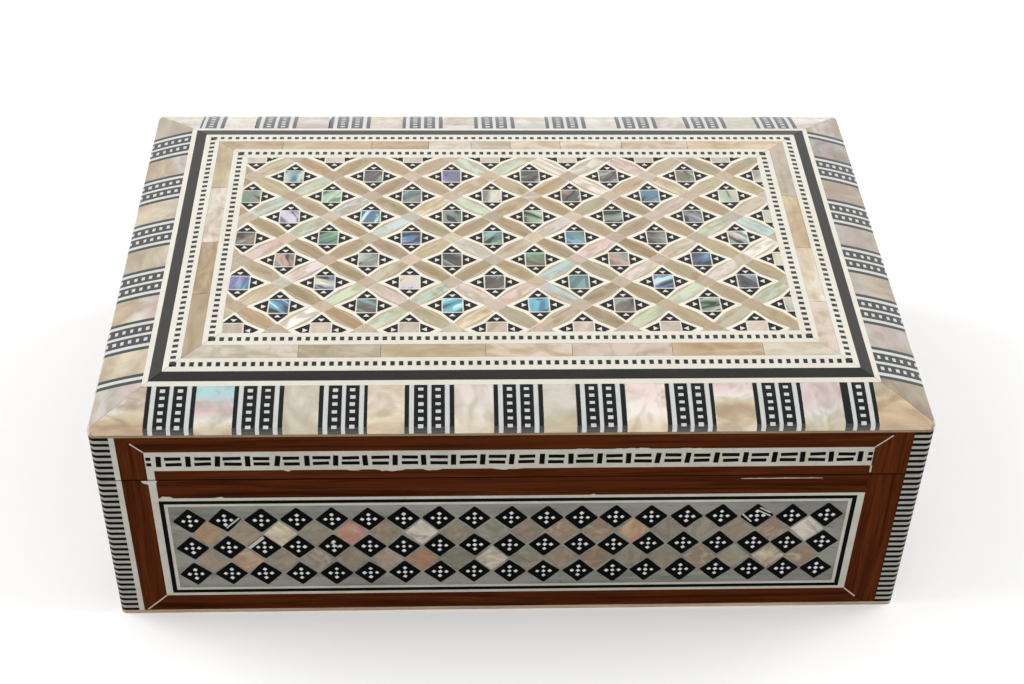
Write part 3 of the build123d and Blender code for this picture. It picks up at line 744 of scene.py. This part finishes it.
frame_fall, frame_run = panel_bottom - board, rim_bottom - strip_top
end_drop = strip_bottom - seam - 0.9
for tiles, u, w, along, up, wide in (
    (base_chips, front.left, panel_bottom, -0.95 * frame_fall, -0.95 * frame_fall, 0.4),
    (base_chips, front.right, panel_bottom, 0.6 * frame_fall, -0.6 * frame_fall, 0.4),
    (lid_chips, front.left, strip_top, -0.6 * frame_run, 0.6 * frame_run, 0.4),
    (lid_chips, front.right, strip_top, 0.8 * frame_run, 0.8 * frame_run, 0.4),
    (lid_chips, front.right, strip_bottom, 0.1, -end_drop, 0.5),
):
    filler_line(tiles, (u, w), (u + along, w + up), wide)
for left, right, depth in ((-98, -94, 1.1), (-83, -80, 0.5), (21, 23, 0.4)):
    chips(base_chips, left, right, panel_top, 1, depth)
for left, right, depth in ((-63, -61, 0.5), (-46, -42, 0.5), (-38, -30, 0.9), (-25, -20, 0.6), (-6, 2, 0.5)):
    chips(lid_chips, left, right, strip_bottom, -1, depth)
for left, right, depth in ((16, 22, 0.3), (26, 38, 0.5), (44, 52, 0.3)):
    chips(lid_chips, left, right, strip_top, 1, depth)
chips(base_chips, 63, 86, seam - 1.2, 1, 0.3)
worn_corner = [(-102.2, 55.15), (-101.8, 54.3), (-100.2, 53.7), (-98.2, 53.9), (-97.8, 55.15)]
base_chips.flat(front.face, worn_corner, 0.02, 0.3, 0.01)

# --- diamonds on the base's sides
string_side, string_level = 4.2, 3.3  # from the opening to the panel's field
diamond_pitch, row_pitch = 10.0, 11.2
diamond_half, pearl_half = (4.68, 4.8), (4.75, 5.2)
dot_spread, dot_half = 1.80, 0.68
long_columns, short_columns = 19, 11


def rough_diamond(half_u, half_w, x, y, angle):
    """A diamond whose edges step a little, as the ends of its glued layers do."""
    corners = rhombus(half_u, half_w)
    outline = []
    for a, b in zip(corners, corners[1:] + corners[:1]):
        nudge, split = dice.uniform(-0.28, 0.28), dice.uniform(0.3, 0.7)
        out = [math.copysign(0.7 * nudge, a[k] + b[k]) for k in (0, 1)]
        for share in (0.04, split, 0.96):
            shift = 1 if share < 0.5 or nudge > 0 else -0.4
            outline.append(tuple(a[k] + share * (b[k] - a[k]) + shift * out[k] for k in (0, 1)))
    return turned(outline, angle, x, y)


def panel_spot(side, columns, rows, column, row):
    """The middle of a diamond, in rows and columns about the panel's middle."""
    u = (side.left + side.right) / 2 + (column - (columns - 1) / 2) * diamond_pitch
    return u, (panel_bottom + panel_top) / 2 + (row - (rows - 1) / 2) * row_pitch


# the body colour of each pearl diamond on the front, upper row and lower row
panel_rows = {1: "obwgpkwgnkrroggkrw", 0: "kogkgkonwnkrggrgwr"}
letters = list(panel_colours)
base_filler, base_ebony, base_dots, base_pearl, string_ebony = (Tiles() for _ in range(5))
for name, side in sides.items():
    low = (side.left + string_side, panel_bottom + string_level)
    high = (side.right - string_side, panel_top - string_level)
    base_filler.flat(side.face, rectangle(*low, *high), -0.05, skin - 0.05, 0.02)
    columns = long_columns if side.half > 100 else short_columns
    for column in range(columns):
        for row in range(3):
            u, w = strayed(panel_spot(side, columns, 3, column, row), 0.25, 0.2)
            lean = dice.uniform(-0.05, 0.05)
            base_ebony.flat(side.face, rough_diamond(*diamond_half, u, w, lean))
            for a, b in ((0, 0), (dot_spread, 0), (-dot_spread, 0), (0, dot_spread), (0, -dot_spread)):
                (x, y), = turned([(a, b)], lean, u, w)
                size = dot_half * dice.uniform(0.88, 1.08)
                dot = rhombus(size, size, x, y, lean + dice.uniform(-0.2, 0.2))
                base_dots.flat(side.face, dot, 0.03, 0.5, 0.03)
    for column in range(columns - 1):
        for row in range(2):
            u, w = strayed(panel_spot(side, columns - 1, 2, column, row), 0.15, 0.15)
            letter = panel_rows[row][column] if name == "front" else dice.choice(letters)
            flash = 0.6 if letter == "w" else dice.uniform(0.0, 0.3)
            mark = (letters.index(letter) / (len(letters) - 1), dice.random(), flash, dice.uniform(0.05, 0.45))
            base_pearl.flat(side.face, rhombus(*pearl_half, u, w, dice.uniform(-0.03, 0.03)), -0.01, mark=mark)

# the black line round each panel, a little wider than its slot
string_outside, string_inside = (1.95, 1.05), (3.30, 2.40)  # in from the opening's sides and from its top
for side in sides.values():
    outer, inner = (
        rectangle(side.left + across, panel_bottom + up, side.right - across, panel_top - up)
        for across, up in (string_outside, string_inside)
    )
    for n in range(4):
        m = (n + 1) % 4
        length = [outer[n], outer[m], inner[m], inner[n]]
        string_ebony.flat(side.face, length, 0.02, 0.8, 0.04, (0, 0, 0, 1), (0, 0, 0))
string_ebony.build("base_ebony_lines", ebony_side, "base", "ebony", "base_ebony_string")

# cracks and a missing layer in four of the front's diamonds, from each diamond's middle
cracks = [
    (1, 2, [((4.0, 0.9), (0.2, -3.1))]),
    (16, 2, [((-4.2, 0.7), (-1.4, -2.5)), ((0.6, 3.2), (3.8, 1.1)), ((0.0, 2.2), (3.9, -0.2))]),
    (4, 1, [((-0.8, 1.6), (1.2, -0.4))]),
]
for column, row, lines in cracks:
    u, w = panel_spot(front, long_columns, 3, column, row)
    for start, end in lines:
        filler_line(base_chips, (u + start[0], w + start[1]), (u + end[0], w + end[1]), 0.5)
u, w = panel_spot(front, long_columns, 3, 2, 1)
lost_layer = [(u - 4.6, w), (u - 3.7, w - 0.6), (u + 0.5, w + 3.7), (u, w + 4.7)]
base_chips.flat(front.face, lost_layer, 0.04, 0.3, 0.02)
base_filler.build("base_filler", filler_side, "base", "filler", "base_panel_filler")
base_ebony.build("base_diamonds_ebony", ebony_side, "base", "ebony", "base_dotted_diamonds")
base_dots.build("base_diamond_dots", bone_dots, "base", "bone", "base_dotted_diamonds")
base_pearl.build("base_diamonds_pearl", panel_pearl, "base", "pearl", "base_pearl_diamonds")
base_chips.build("base_joint_filler", bone_side, "base", "filler")

# --- dashes on the lid's sides
dash_pitch, dash_spread, end_dash = 8.0, 2.1, 1.4
upright_dash, level_dash = (1.5, 4.0), (4.8, 1.3)


def dash(side, size, u, w, lean):
    lid_dashes.flat(side.face, centred(size[0] / 2, size[1] / 2, lean, u, w), 0.03)


lid_strips, lid_dashes = Tiles(), Tiles()
for side in sides.values():
    strip = rectangle(side.left, strip_bottom, side.right, strip_top)
    if side is front:
        post = side.left + bone_post
        strip = [(side.left, seam + reveal), (post, seam + reveal), (post, strip_bottom)] + strip[1:]
    lid_strips.flat(side.face, strip, 0.0, skin, 0.06)
    middle = (side.left + side.right) / 2
    level = (strip_bottom + strip_top) / 2
    count = int((side.right - side.left - dash_pitch / 2) // dash_pitch)
    for n in range(count + 1):
        u = middle + (n - count / 2) * dash_pitch + dice.uniform(-0.2, 0.2)
        dash(side, upright_dash, u, level, dice.uniform(-0.16, 0.06))
    for up in (-dash_spread / 2, dash_spread / 2):
        for n in range(count):
            u = middle + (n + 0.5 - count / 2) * dash_pitch + dice.uniform(-0.15, 0.15)
            long_dash = (level_dash[0] * dice.uniform(0.9, 1.04), level_dash[1])
            dash(side, long_dash, u, level + up + dice.uniform(-0.1, 0.1), dice.uniform(-0.03, 0.05))
        for u in (side.left + end_dash / 2 + 0.3, side.right - end_dash / 2 - 0.2):
            dash(side, (end_dash, level_dash[1]), u, level + up, 0.0)
lid_strips.build("lid_strips", bone_side, "lid", "bone", "lid_bone_strips")
lid_dashes.build("lid_dashes", ebony_side, "lid", "ebony", "lid_ebony_dashes")
lid_chips.build("lid_joint_filler", bone_side, "lid", "filler")

# --- tiles round the lid's edge
corner_tile, tile_pitch, group_width = 15.0, 23.65, 13.3
half_bars = [("ebony", 1.1), ("bone", 1.2), ("dotted", 3.4)]
bars = half_bars + [("bone", 1.0)] + half_bars[::-1]
bar_scale = group_width / sum(size for kind, size in bars)
dots_per_bar, dot_wide, dot_tall = 6, 0.70, 0.5
dots_from, dots_spare = 1.2, 1.6  # bare lengths of a bar, at its bottom and in all
# painted shade: each side's rim pearl tiles are darkened by their own amount, the right side most and the
# front least
painted_side_shade = {"front": -0.1, "back": -0.6, "left": -1.0, "right": -1.7}


def regular_groups(side):
    """Where the striped tiles start and end along a side, and how much of each is cut away at its start."""
    groups, left, end = [], corner_tile - side.half, side.half - corner_tile
    while left < end:
        groups.append((left, min(left + group_width, end), 0.0))
        left += tile_pitch
    return groups


# colours of the front's pearl tiles from left to right: flash and hue at the bottom, the middle and the top
front_pearls = [
    ((0.6, 0.02), (0.8, 0.30), (0.9, 0.58)),
    ((0.9, 0.04), (1.0, 0.60), (1.0, 0.82)),
    ((0.5, 0.20), (0.6, 0.34), (0.6, 0.30)),
    ((0.7, 0.08), (0.8, 0.30), (0.6, 0.24)),
    ((0.6, 0.20), (0.8, 0.44), (0.8, 0.50)),
    ((0.6, 0.10), (0.6, 0.36), (0.6, 0.40)),
    ((0.6, 0.20), (0.8, 0.40), (0.8, 0.50)),
    ((0.8, 0.24), (0.8, 0.20), (1.0, 0.60)),
    ((0.8, 0.18), (1.0, 0.52), (1.0, 0.62)),
    ((0.5, 0.02), (0.6, 0.10), (0.6, 0.52)),
]


def tile_shades(name, stages):
    """Marks up one rim tile, from the flash and the hue at its bottom, middle and top."""
    # the side's amount darkens the whole tile as painted shade
    body, level = dice.random(), dice.random() + painted_side_shade[name]

    def shade(up):
        flash, hue = (float(np.interp(up, (0.08, 0.5, 0.92), [stage[k] for stage in stages])) for k in (0, 1))
        return (body, level, flash, hue)

    return shade


def tile_stages(name, number):
    """Flash and hue up a tile, at random but for the front's. The left and right sides are tan or pink."""
    if name == "front":
        return front_pearls[number]
    flash = [dice.uniform(*span) for span in ((0.4, 0.8), (0.3, 1.0), (0.2, 1.0))]
    hue = [dice.uniform(0.0, 0.2), dice.uniform(0.2, 0.5), dice.random()]
    if name != "back":
        hue = [0.5 * hue[0], 0.58 if dice.random() < 0.3 else 0.3 * hue[1], 0.6 * hue[2]]
    return list(zip(flash, hue))


groups = {name: regular_groups(sides[name]) for name in ("left", "right")}
front_starts = [-99.5, -75.9, -53.0, -29.9, -5.8, 16.6, 41.1, 65.3]
back_starts = [-98.25, -74.75, -51.6, -27.9, -4.25, 19.6, 43.5, 67.75]
for name, starts, last in (
    ("front", front_starts, (89.5, 98.75, 4.0)),
    ("back", back_starts, (91.25, 99.0, 0.0)),
):
    groups[name] = [(start, start + group_width + dice.uniform(-0.3, 0.3), 0.0) for start in starts] + [last]

rim_steps = steps(0.0, rim_length, 1.1)
rim_ebony, rim_bone, rim_shell = Tiles(), Tiles(), Tiles()
for name, side in sides.items():
    place = lambda u, s, out, side=side: rim_point(side, u, s, out)
    for left, right, cut in groups[name]:
        end = left - cut
        for kind, size in bars:
            start, end = end, end + size * bar_scale
            a, b = max(start, left), min(end, right)
            if b - a < 0.3:
                continue
            tiles = rim_bone if kind == "bone" else rim_ebony
            tiles.curved(place, soft(a, b), rim_steps, mark=(0, 0, 0, 1))
            if kind == "dotted" and b - a > 2.5:
                for n in range(dots_per_bar):
                    s = dots_from + (n + 0.5) * (rim_length - dots_spare) / dots_per_bar
                    s += dice.uniform(-0.1, 0.1)
                    u = (a + b) / 2 + dice.uniform(-0.08, 0.08)
                    tall = dot_tall * dice.uniform(0.85, 1.15)
                    ss = [s - tall, s - tall + 0.04, s, s + tall - 0.04, s + tall]
                    rim_bone.curved(place, soft(u - dot_wide, u + dot_wide, 0.04), ss, 0.03, 0.4, 0.03)
    for n, ((_, right, _), (following, _, _)) in enumerate(zip(groups[name], groups[name][1:])):
        us = steps(right + joint, following - joint, 2.5)
        stages = tile_stages(name, n + 1)
        grain = loose(math.pi / 2 * (n % 2) + dice.uniform(-0.5, 0.5))
        rim_shell.curved(place, us, rim_steps, mark=tile_shades(name, stages), grain=grain)
    for sign, inner, number in ((-1, groups[name][0][0], 0), (1, groups[name][-1][1], -1)):

        def corner(t, s, out, side=side, sign=sign, inner=inner):
            near, far = abs(inner) + joint, rim_reach(side, s) - joint
            return rim_point(side, sign * (near + sign * t * (far - near)), s, out)

        shares = steps(0.0, 1.0, 0.08, 0.004)
        if sign < 0:
            shares = [-t for t in reversed(shares)]
        start = len(rim_shell.points)
        rim_shell.curved(corner, shares, rim_steps, mark=tile_shades(name, tile_stages(name, number)))
        # the shares run from 0 to 1, so the grain is stretched to the tile's length afterwards
        shift = dice.uniform(-500, 500)
        for k in range(start, len(rim_shell.points)):
            along, up = side.unfolded(rim_shell.points[k])
            rim_shell.grains[k] = (along + shift, up, 0.0)
rim_ebony.build("lid_rim_ebony", ebony_rim, "lid", "ebony", "lid_striped_rim_tiles")
rim_bone.build("lid_rim_bone", bone_rim, "lid", "bone", "lid_striped_rim_tiles")
rim_shell.build("lid_rim_pearl", rim_pearl, "lid", "pearl", "lid_pearl_rim_tiles")

# --- checker rows and the pearl border
band_edges = np.cumsum([edge_band, 1.6, 3.4, 1.7, 1.6, 1.4, 5.1, 1.6, 1.6, 1.7])
checker_bands = [(band_edges[3], band_edges[4]), (band_edges[7], band_edges[8])]
border_band = (band_edges[5], band_edges[6])
checker_pitch = 2.4
longest_strip, strip_span = 34, (12, 30)

checker_ebony, checker_bone, border_shell = Tiles(), Tiles(), Tiles()
for side in sides.values():
    place = lambda u, s, out, side=side: rim_point(side, u, s, out, False)
    for near, far in checker_bands:
        low, high = length_at(near), length_at(far)
        reach = side.half - (near + far) / 2
        count = 4 * round(reach / checker_pitch) + 1
        size = 2 * reach / count
        for n in range(count):
            a, b = -reach + n * size, -reach + (n + 1) * size
            tiles = checker_bone if n % 2 else checker_ebony
            wobble = dice.uniform(-0.06, 0.06)
            us = [a + 0.01, a + 0.05, b - 0.05 + wobble, b - 0.01 + wobble]
            tiles.curved(place, us, soft(low, high), 0.0 if n % 2 else 0.01)
    near, far = border_band
    low, high = length_at(near), length_at(far)
    reach = side.half - (near + far) / 2
    cuts = [-reach]
    while cuts[-1] < reach - longest_strip:
        cuts.append(cuts[-1] + dice.uniform(*strip_span))
    cuts.append(reach)
    ss = steps(low + 0.03, high - 0.03, 1.2)
    for a, b in zip(cuts, cuts[1:]):

        def strip(t, s, out, side=side, a=a, b=b, reach=reach):
            mitre = side.half - profile(s)[0] - joint
            left = -mitre if a == -reach else a + joint
            right = mitre if b == reach else b - joint
            return rim_point(side, left + t * (right - left), s, out, False)

        grain = loose(dice.uniform(-0.3, 0.3))
        start = len(border_shell.points)
        mark = (dice.random(), dice.random(), dice.uniform(0.2, 1.0), dice.uniform(0.05, 0.48))
        border_shell.curved(strip, steps(0.0, 1.0, 0.12, 0.003), ss, mark=mark, grain=grain)
        for k in range(start, len(border_shell.points)):
            along = side.unfolded(border_shell.points[k])[0]
            border_shell.grains[k] = (along + grain[1], border_shell.grains[k][1], 0.0)
checker_rows = ("lid_outer_checker_row", "lid_inner_checker_row")
checker_ebony.build("lid_checker_ebony", ebony_top, "lid", "ebony", *checker_rows)
checker_bone.build("lid_checker_bone", bone_top, "lid", "bone", *checker_rows)
border_shell.build("lid_border_pearl", border_pearl, "lid", "pearl", "lid_pearl_border")

# --- lattice in the lid's field
field = (half_x - band_edges[-1], half_y - band_edges[-1])
cell = (12.35, 10.65)
first_column, first_row = 3.0, 0.3
star_tip, star_base, centre_half = (7.4, 6.9), (2.75, 3.0), (3.05, 3.2)
square_half = (2.8, 2.95)
ribbon_widths, strip_width, plate_width = (6.1, 5.35, 3.7), 3.4, 4.4
white_line = 0.30  # filler that shows between a ribbon and the stars
cell_gauge = cell[0] * cell[1] / math.hypot(*cell)  # across a cell, square to a ribbon
plate_half = (plate_width / 2 * cell[0] / cell_gauge, plate_width / 2 * cell[1] / cell_gauge)
field_low, field_high = (-field[0], -field[1]), field


def lattice_point(column, row):
    return first_column - field[0] + column * cell[0], field[1] + first_row - row * cell[1]


def in_field(outline):
    return clip(outline, field_low, field_high)


lid_filler, ribbons, flanks, plates, star_ebony, star_bone, squares = (Tiles() for _ in range(7))
lid_filler.flat(top_face, rectangle(*field_low, *field_high), -0.05, skin - 0.05, 0.02)


def star_arm(base, gap, tip, bow=0.10):
    """A tile that points along +u from a star's middle, its long sides bowed out a little, and its white
    triangle."""
    middle, size, white_tip = (gap + tip) / 2, 0.32 * base, gap + 0.44 * (tip - gap)
    arm = [(gap, -base), (middle, -base / 2 - bow), (tip, 0), (middle, base / 2 + bow), (gap, base)]
    return arm, [(gap + 0.4, 0), (white_tip, size), (white_tip, -size)]


# the two colours of each abalone square, row by row, and the squares with bright streaks
shell_rows = {
    1: "LB KD SV DK ND ON WY",
    2: "YG GL TY WN DP TB LW",
    3: "SI BT TY GL YG SY WL",
    4: "ND TG VB GT BT YK TW",
    5: "PN YW DK GO NP AB WY",
    6: "BV BW IW DK AT BV SK",
    7: "CB DT CB CB ND LG WL",
}
streaked = {(1, 7), (5, 7), (7, 7), (2, 6), (10, 6), (2, 2), (4, 4), (12, 4), (11, 7), (8, 2), (3, 3)}

for column in range(14):
    for row in range(9):
        x, y = strayed(lattice_point(column, row), 0.12, 0.1)
        if (column + row) % 2:
            outline = in_field(rhombus(*plate_half, x, y))
            if outline:
                plates.flat(top_face, outline)
            continue
        for quarter in range(4):
            k = quarter % 2
            arm, white = star_arm(star_base[k], centre_half[k] + 0.1, star_tip[k])
            for tiles, shape, rise, thick, bevel in (
                (star_ebony, arm, 0.0, 0.8, 0.05),
                (star_bone, white, 0.03, 0.4, 0.03),
            ):
                outline = in_field(turned(shape, quarter * math.pi / 2 + dice.uniform(-0.03, 0.03), x, y))
                if outline:
                    tiles.flat(top_face, outline, rise, thick, bevel)
        inner = in_field(centred(*square_half, dice.uniform(-0.02, 0.02), x, y))
        star_bone.flat(top_face, in_field(centred(*centre_half, 0, x, y)))
        grain = loose(dice.uniform(0.4, 1.3) * dice.choice((-1, 1)))
        if row in shell_rows:
            colours = shell_rows[row].split()[column // 2]
            tiles, mark = squares, shell_mark(*colours, 0.9 if (column, row) in streaked else 0.15)
        else:
            tiles, mark = plates, (0.8, dice.random(), 0.9, 0.4)
        tiles.flat(top_face, inner, 0.03, 0.6, 0.04, mark, grain)

# the ribbons that flash, by the hue of their flash
flashes = {
    0.40: [(1, 7), (12, 4), (8, 0), (8, 1), (7, 0), (11, 5)],
    0.50: [(1, 5), (9, 5), (3, 6), (5, 6), (7, 3)],
    0.58: [(10, 2), (8, 4), (0, 4), (9, 0), (6, 6)],
    0.72: [(2, 2), (3, 3), (7, 6), (5, 4)],
    0.84: [(12, 3), (7, 5), (0, 2)],
    0.96: [(11, 3), (4, 6), (2, 6), (10, 6), (12, 6), (3, 7), (1, 1), (1, 3), (6, 0), (5, 0), (5, 2), (9, 7)],
    0.20: [(10, 1), (5, 7), (4, 2)],
}
flash_hues = {place: hue for hue, places in flashes.items() for place in places}
strong = {(2, 2), (1, 7), (12, 4), (1, 5), (12, 3)}


def ribbon_parts(rise):
    """Outlines of the straight strip down the middle of a ribbon and of the slips on each side of it."""
    end = 1 - (plate_width / 2 + joint) / cell_gauge
    middle, quarter, tip = (across / 2 / cell_gauge for across in ribbon_widths)
    strip, gap = strip_width / 2 / cell_gauge, joint / cell_gauge
    quarter, middle = quarter - white_line / cell_gauge, middle - white_line / cell_gauge
    edge = [(-end, tip), (-end / 2, quarter), (0, middle), (end / 2, quarter), (end, tip)]
    parts = [
        rectangle(-end, -strip, end, strip),
        [(-end, strip + gap), (end, strip + gap)] + edge[::-1],
        [(end, -strip - gap), (-end, -strip - gap)] + [(s, -t) for s, t in edge],
    ]
    return [[((s + t) * cell[0] / 2, rise * (s - t) * cell[1] / 2) for s, t in part] for part in parts]


for column in range(-1, 13):
    for row in range(9):
        x, y = lattice_point(column + 0.5, row + 0.5)
        rise = -1 if (column + row) % 2 else 1
        angle = rise * math.atan2(cell[1], cell[0])
        flash = dice.uniform(0.0, 0.45 if rise > 0 else 0.2)
        if (column, row) in flash_hues:
            flash = 1.0 if (column, row) in strong else 0.75
        hue = flash_hues.get((column, row), dice.uniform(0.15, 0.55))
        body, level = dice.random(), dice.random()
        for part, outline in enumerate(ribbon_parts(rise)):
            outline = in_field([(x + u, y + w) for u, w in outline])
            grain = loose(angle + dice.uniform(-0.12, 0.12))
            if outline and part == 0:
                ribbons.flat(top_face, outline, 0.02, 0.8, 0.05, (body, level, flash, hue), grain)
            elif outline:
                mark = (dice.random(), 0.5 * level + 0.5 * dice.random(), 0.4 * flash, hue)
                flanks.flat(top_face, outline, 0.0, 0.8, 0.04, mark, grain)
lid_filler.build("lid_filler", filler_top, "lid", "filler", "lid_field_filler")
ribbons.build("lid_ribbons", ribbon_pearl, "lid", "pearl", "lid_pearl_ribbons")
flanks.build("lid_ribbon_flanks", flank_pearl, "lid", "pearl", "lid_pearl_ribbons")
plates.build("lid_plates", plate_pearl, "lid", "pearl", "lid_crossing_plates")
star_ebony.build("lid_star_ebony", ebony_star, "lid", "ebony", "lid_star_tiles")
star_bone.build("lid_star_bone", bone_top, "lid", "bone", "lid_star_tiles")
squares.build("lid_squares", shell, "lid", "abalone", "lid_abalone_squares")

# --- velvet linings
pad_crown, pad_pitch, lining = 0.6, 4.0, 1.0


def pad(name, body, low, high, axis, face, replaced):
    """A velvet pad in a box, crowned on the face that looks along an axis (face is 1 or -1)."""
    across = [k for k in range(3) if k != axis]
    spans = [(low[k], high[k], max(3, round((high[k] - low[k]) / pad_pitch)) + 1) for k in across]
    us, vs = (np.linspace(*span) for span in spans)
    back, top = (low[axis], high[axis]) if face > 0 else (high[axis], low[axis])
    points = []
    for level in (0, 1):
        for u in us:
            for v in vs:
                edge = min(u - us[0], us[-1] - u, v - vs[0], vs[-1] - v)
                ripple = 0.06 * math.sin(u * 0.11) * math.sin(v * 0.13 + 1)
                sunk = (top - back) * (pad_crown * math.exp(-edge / 2.5) + max(ripple, 0))
                point = [u, v]
                point.insert(axis, back if level else top - sunk)
                points.append(point)
    faces = slab_faces(len(us), len(vs))
    if (axis == 1) == (face > 0):
        faces = [corners[::-1] for corners in faces]
    piece = new_piece(name, points, faces, velvet_red, pad_crease)
    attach(piece, body)
    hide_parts(replaced)


def node_box(name):
    low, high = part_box(name)
    return [v / MM for v in low], [v / MM for v in high]


pad("base_floor_pad", "base", *node_box("base_floor_lining"), 2, 1, "base_floor_lining")
pad("lid_top_pad", "lid", *node_box("lid_top_lining"), 2, -1, "lid_top_lining")
for body, node in (("base", "base_wall_linings"), ("lid", "lid_wall_linings")):
    low, high = node_box(node)
    for hand, axis, face in (("front", 1, 1), ("back", 1, -1), ("left", 0, 1), ("right", 0, -1)):
        panel_low, panel_high = list(low), list(high)
        if face > 0:
            panel_high[axis] = low[axis] + lining
        else:
            panel_low[axis] = high[axis] - lining
        if axis == 0:
            panel_low[1] += lining
            panel_high[1] -= lining
        pad(f"{body}_{hand}_pad", body, panel_low, panel_high, axis, face, node)

# --- floor, light and camera
floor_half = 4.0
mesh = bpy.data.meshes.new("floor")
corners = rectangle(-floor_half, -floor_half, floor_half, floor_half)
mesh.from_pydata([(x, y, 0) for x, y in corners], [], [[0, 1, 2, 3]])
floor = new_object("floor", mesh)
glow = {"Emission_Color": (1, 1, 1, 1), "Emission_Strength": 0.07}
floor_paint = Finish("floor_paint", Roughness=0.7, Specular_IOR_Level=0.1, **glow)
cloud = floor_paint.noise(floor_paint.where(), 0.004, 3)
floor_paint.out("Base Color", floor_paint.mix(cloud, (0.95, 0.95, 0.95, 1), (0.97, 0.97, 0.965, 1)))
mesh.materials.append(floor_paint.material)
floor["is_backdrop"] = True


def softbox(name, place, target, size, power):
    lamp = bpy.data.lights.new(name, "AREA")
    lamp.shape = "RECTANGLE"
    lamp.size, lamp.size_y = size
    lamp.energy = power
    made = new_object(name, lamp)
    made.location = place
    made.rotation_euler = (Vector(target) - Vector(place)).to_track_quat("-Z", "Y").to_euler()


softbox("left_window", (-1.1, 0.15, 0.9), (0, 0, 0.05), (0.9, 0.7), 11.0)
softbox("right_window", (1.1, 0.15, 0.9), (0, 0, 0.05), (0.9, 0.7), 9.5)
softbox("nose_lamp", (-0.25, -0.6, 1.5), (-0.09, -0.07, 0.08), (0.16, 0.06), 0.6)
world = bpy.data.worlds.new("studio")
world.use_nodes = True
sky = world.node_tree
direction = sky.nodes.new("ShaderNodeTexCoord").outputs["Generated"]
upward = sky.nodes.new("ShaderNodeSeparateXYZ")
sky.links.new(direction, upward.inputs[0])
levels = sky.nodes.new("ShaderNodeValToRGB")
for element, (place, level) in zip(levels.color_ramp.elements, ((0.62, 1.0), (0.93, 0.14))):
    element.position = place
    element.color = (level, level * 0.995, level * 0.985, 1)
sky.links.new(upward.outputs["Z"], levels.inputs["Fac"])
sky.links.new(levels.outputs["Color"], sky.nodes["Background"].inputs["Color"])
sky.nodes["Background"].inputs["Strength"].default_value = 1.0
bpy.context.scene.world = world
bpy.context.scene.view_settings.view_transform = "Standard"

lens = bpy.data.cameras.new("camera")
lens.lens, lens.sensor_width = 58.96, 36.0
lens.shift_x, lens.shift_y = -0.0063, -0.0189
lens.clip_start, lens.clip_end = 0.01, 20.0
camera = new_object("camera", lens)
camera.location = (-0.0184, -0.4015, 0.3862)
camera.rotation_euler = Euler([math.radians(v) for v in (49.8399, -1.3756, -2.0321)])
bpy.context.scene.camera = camera

bpy.context.view_layer.update()
low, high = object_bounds()
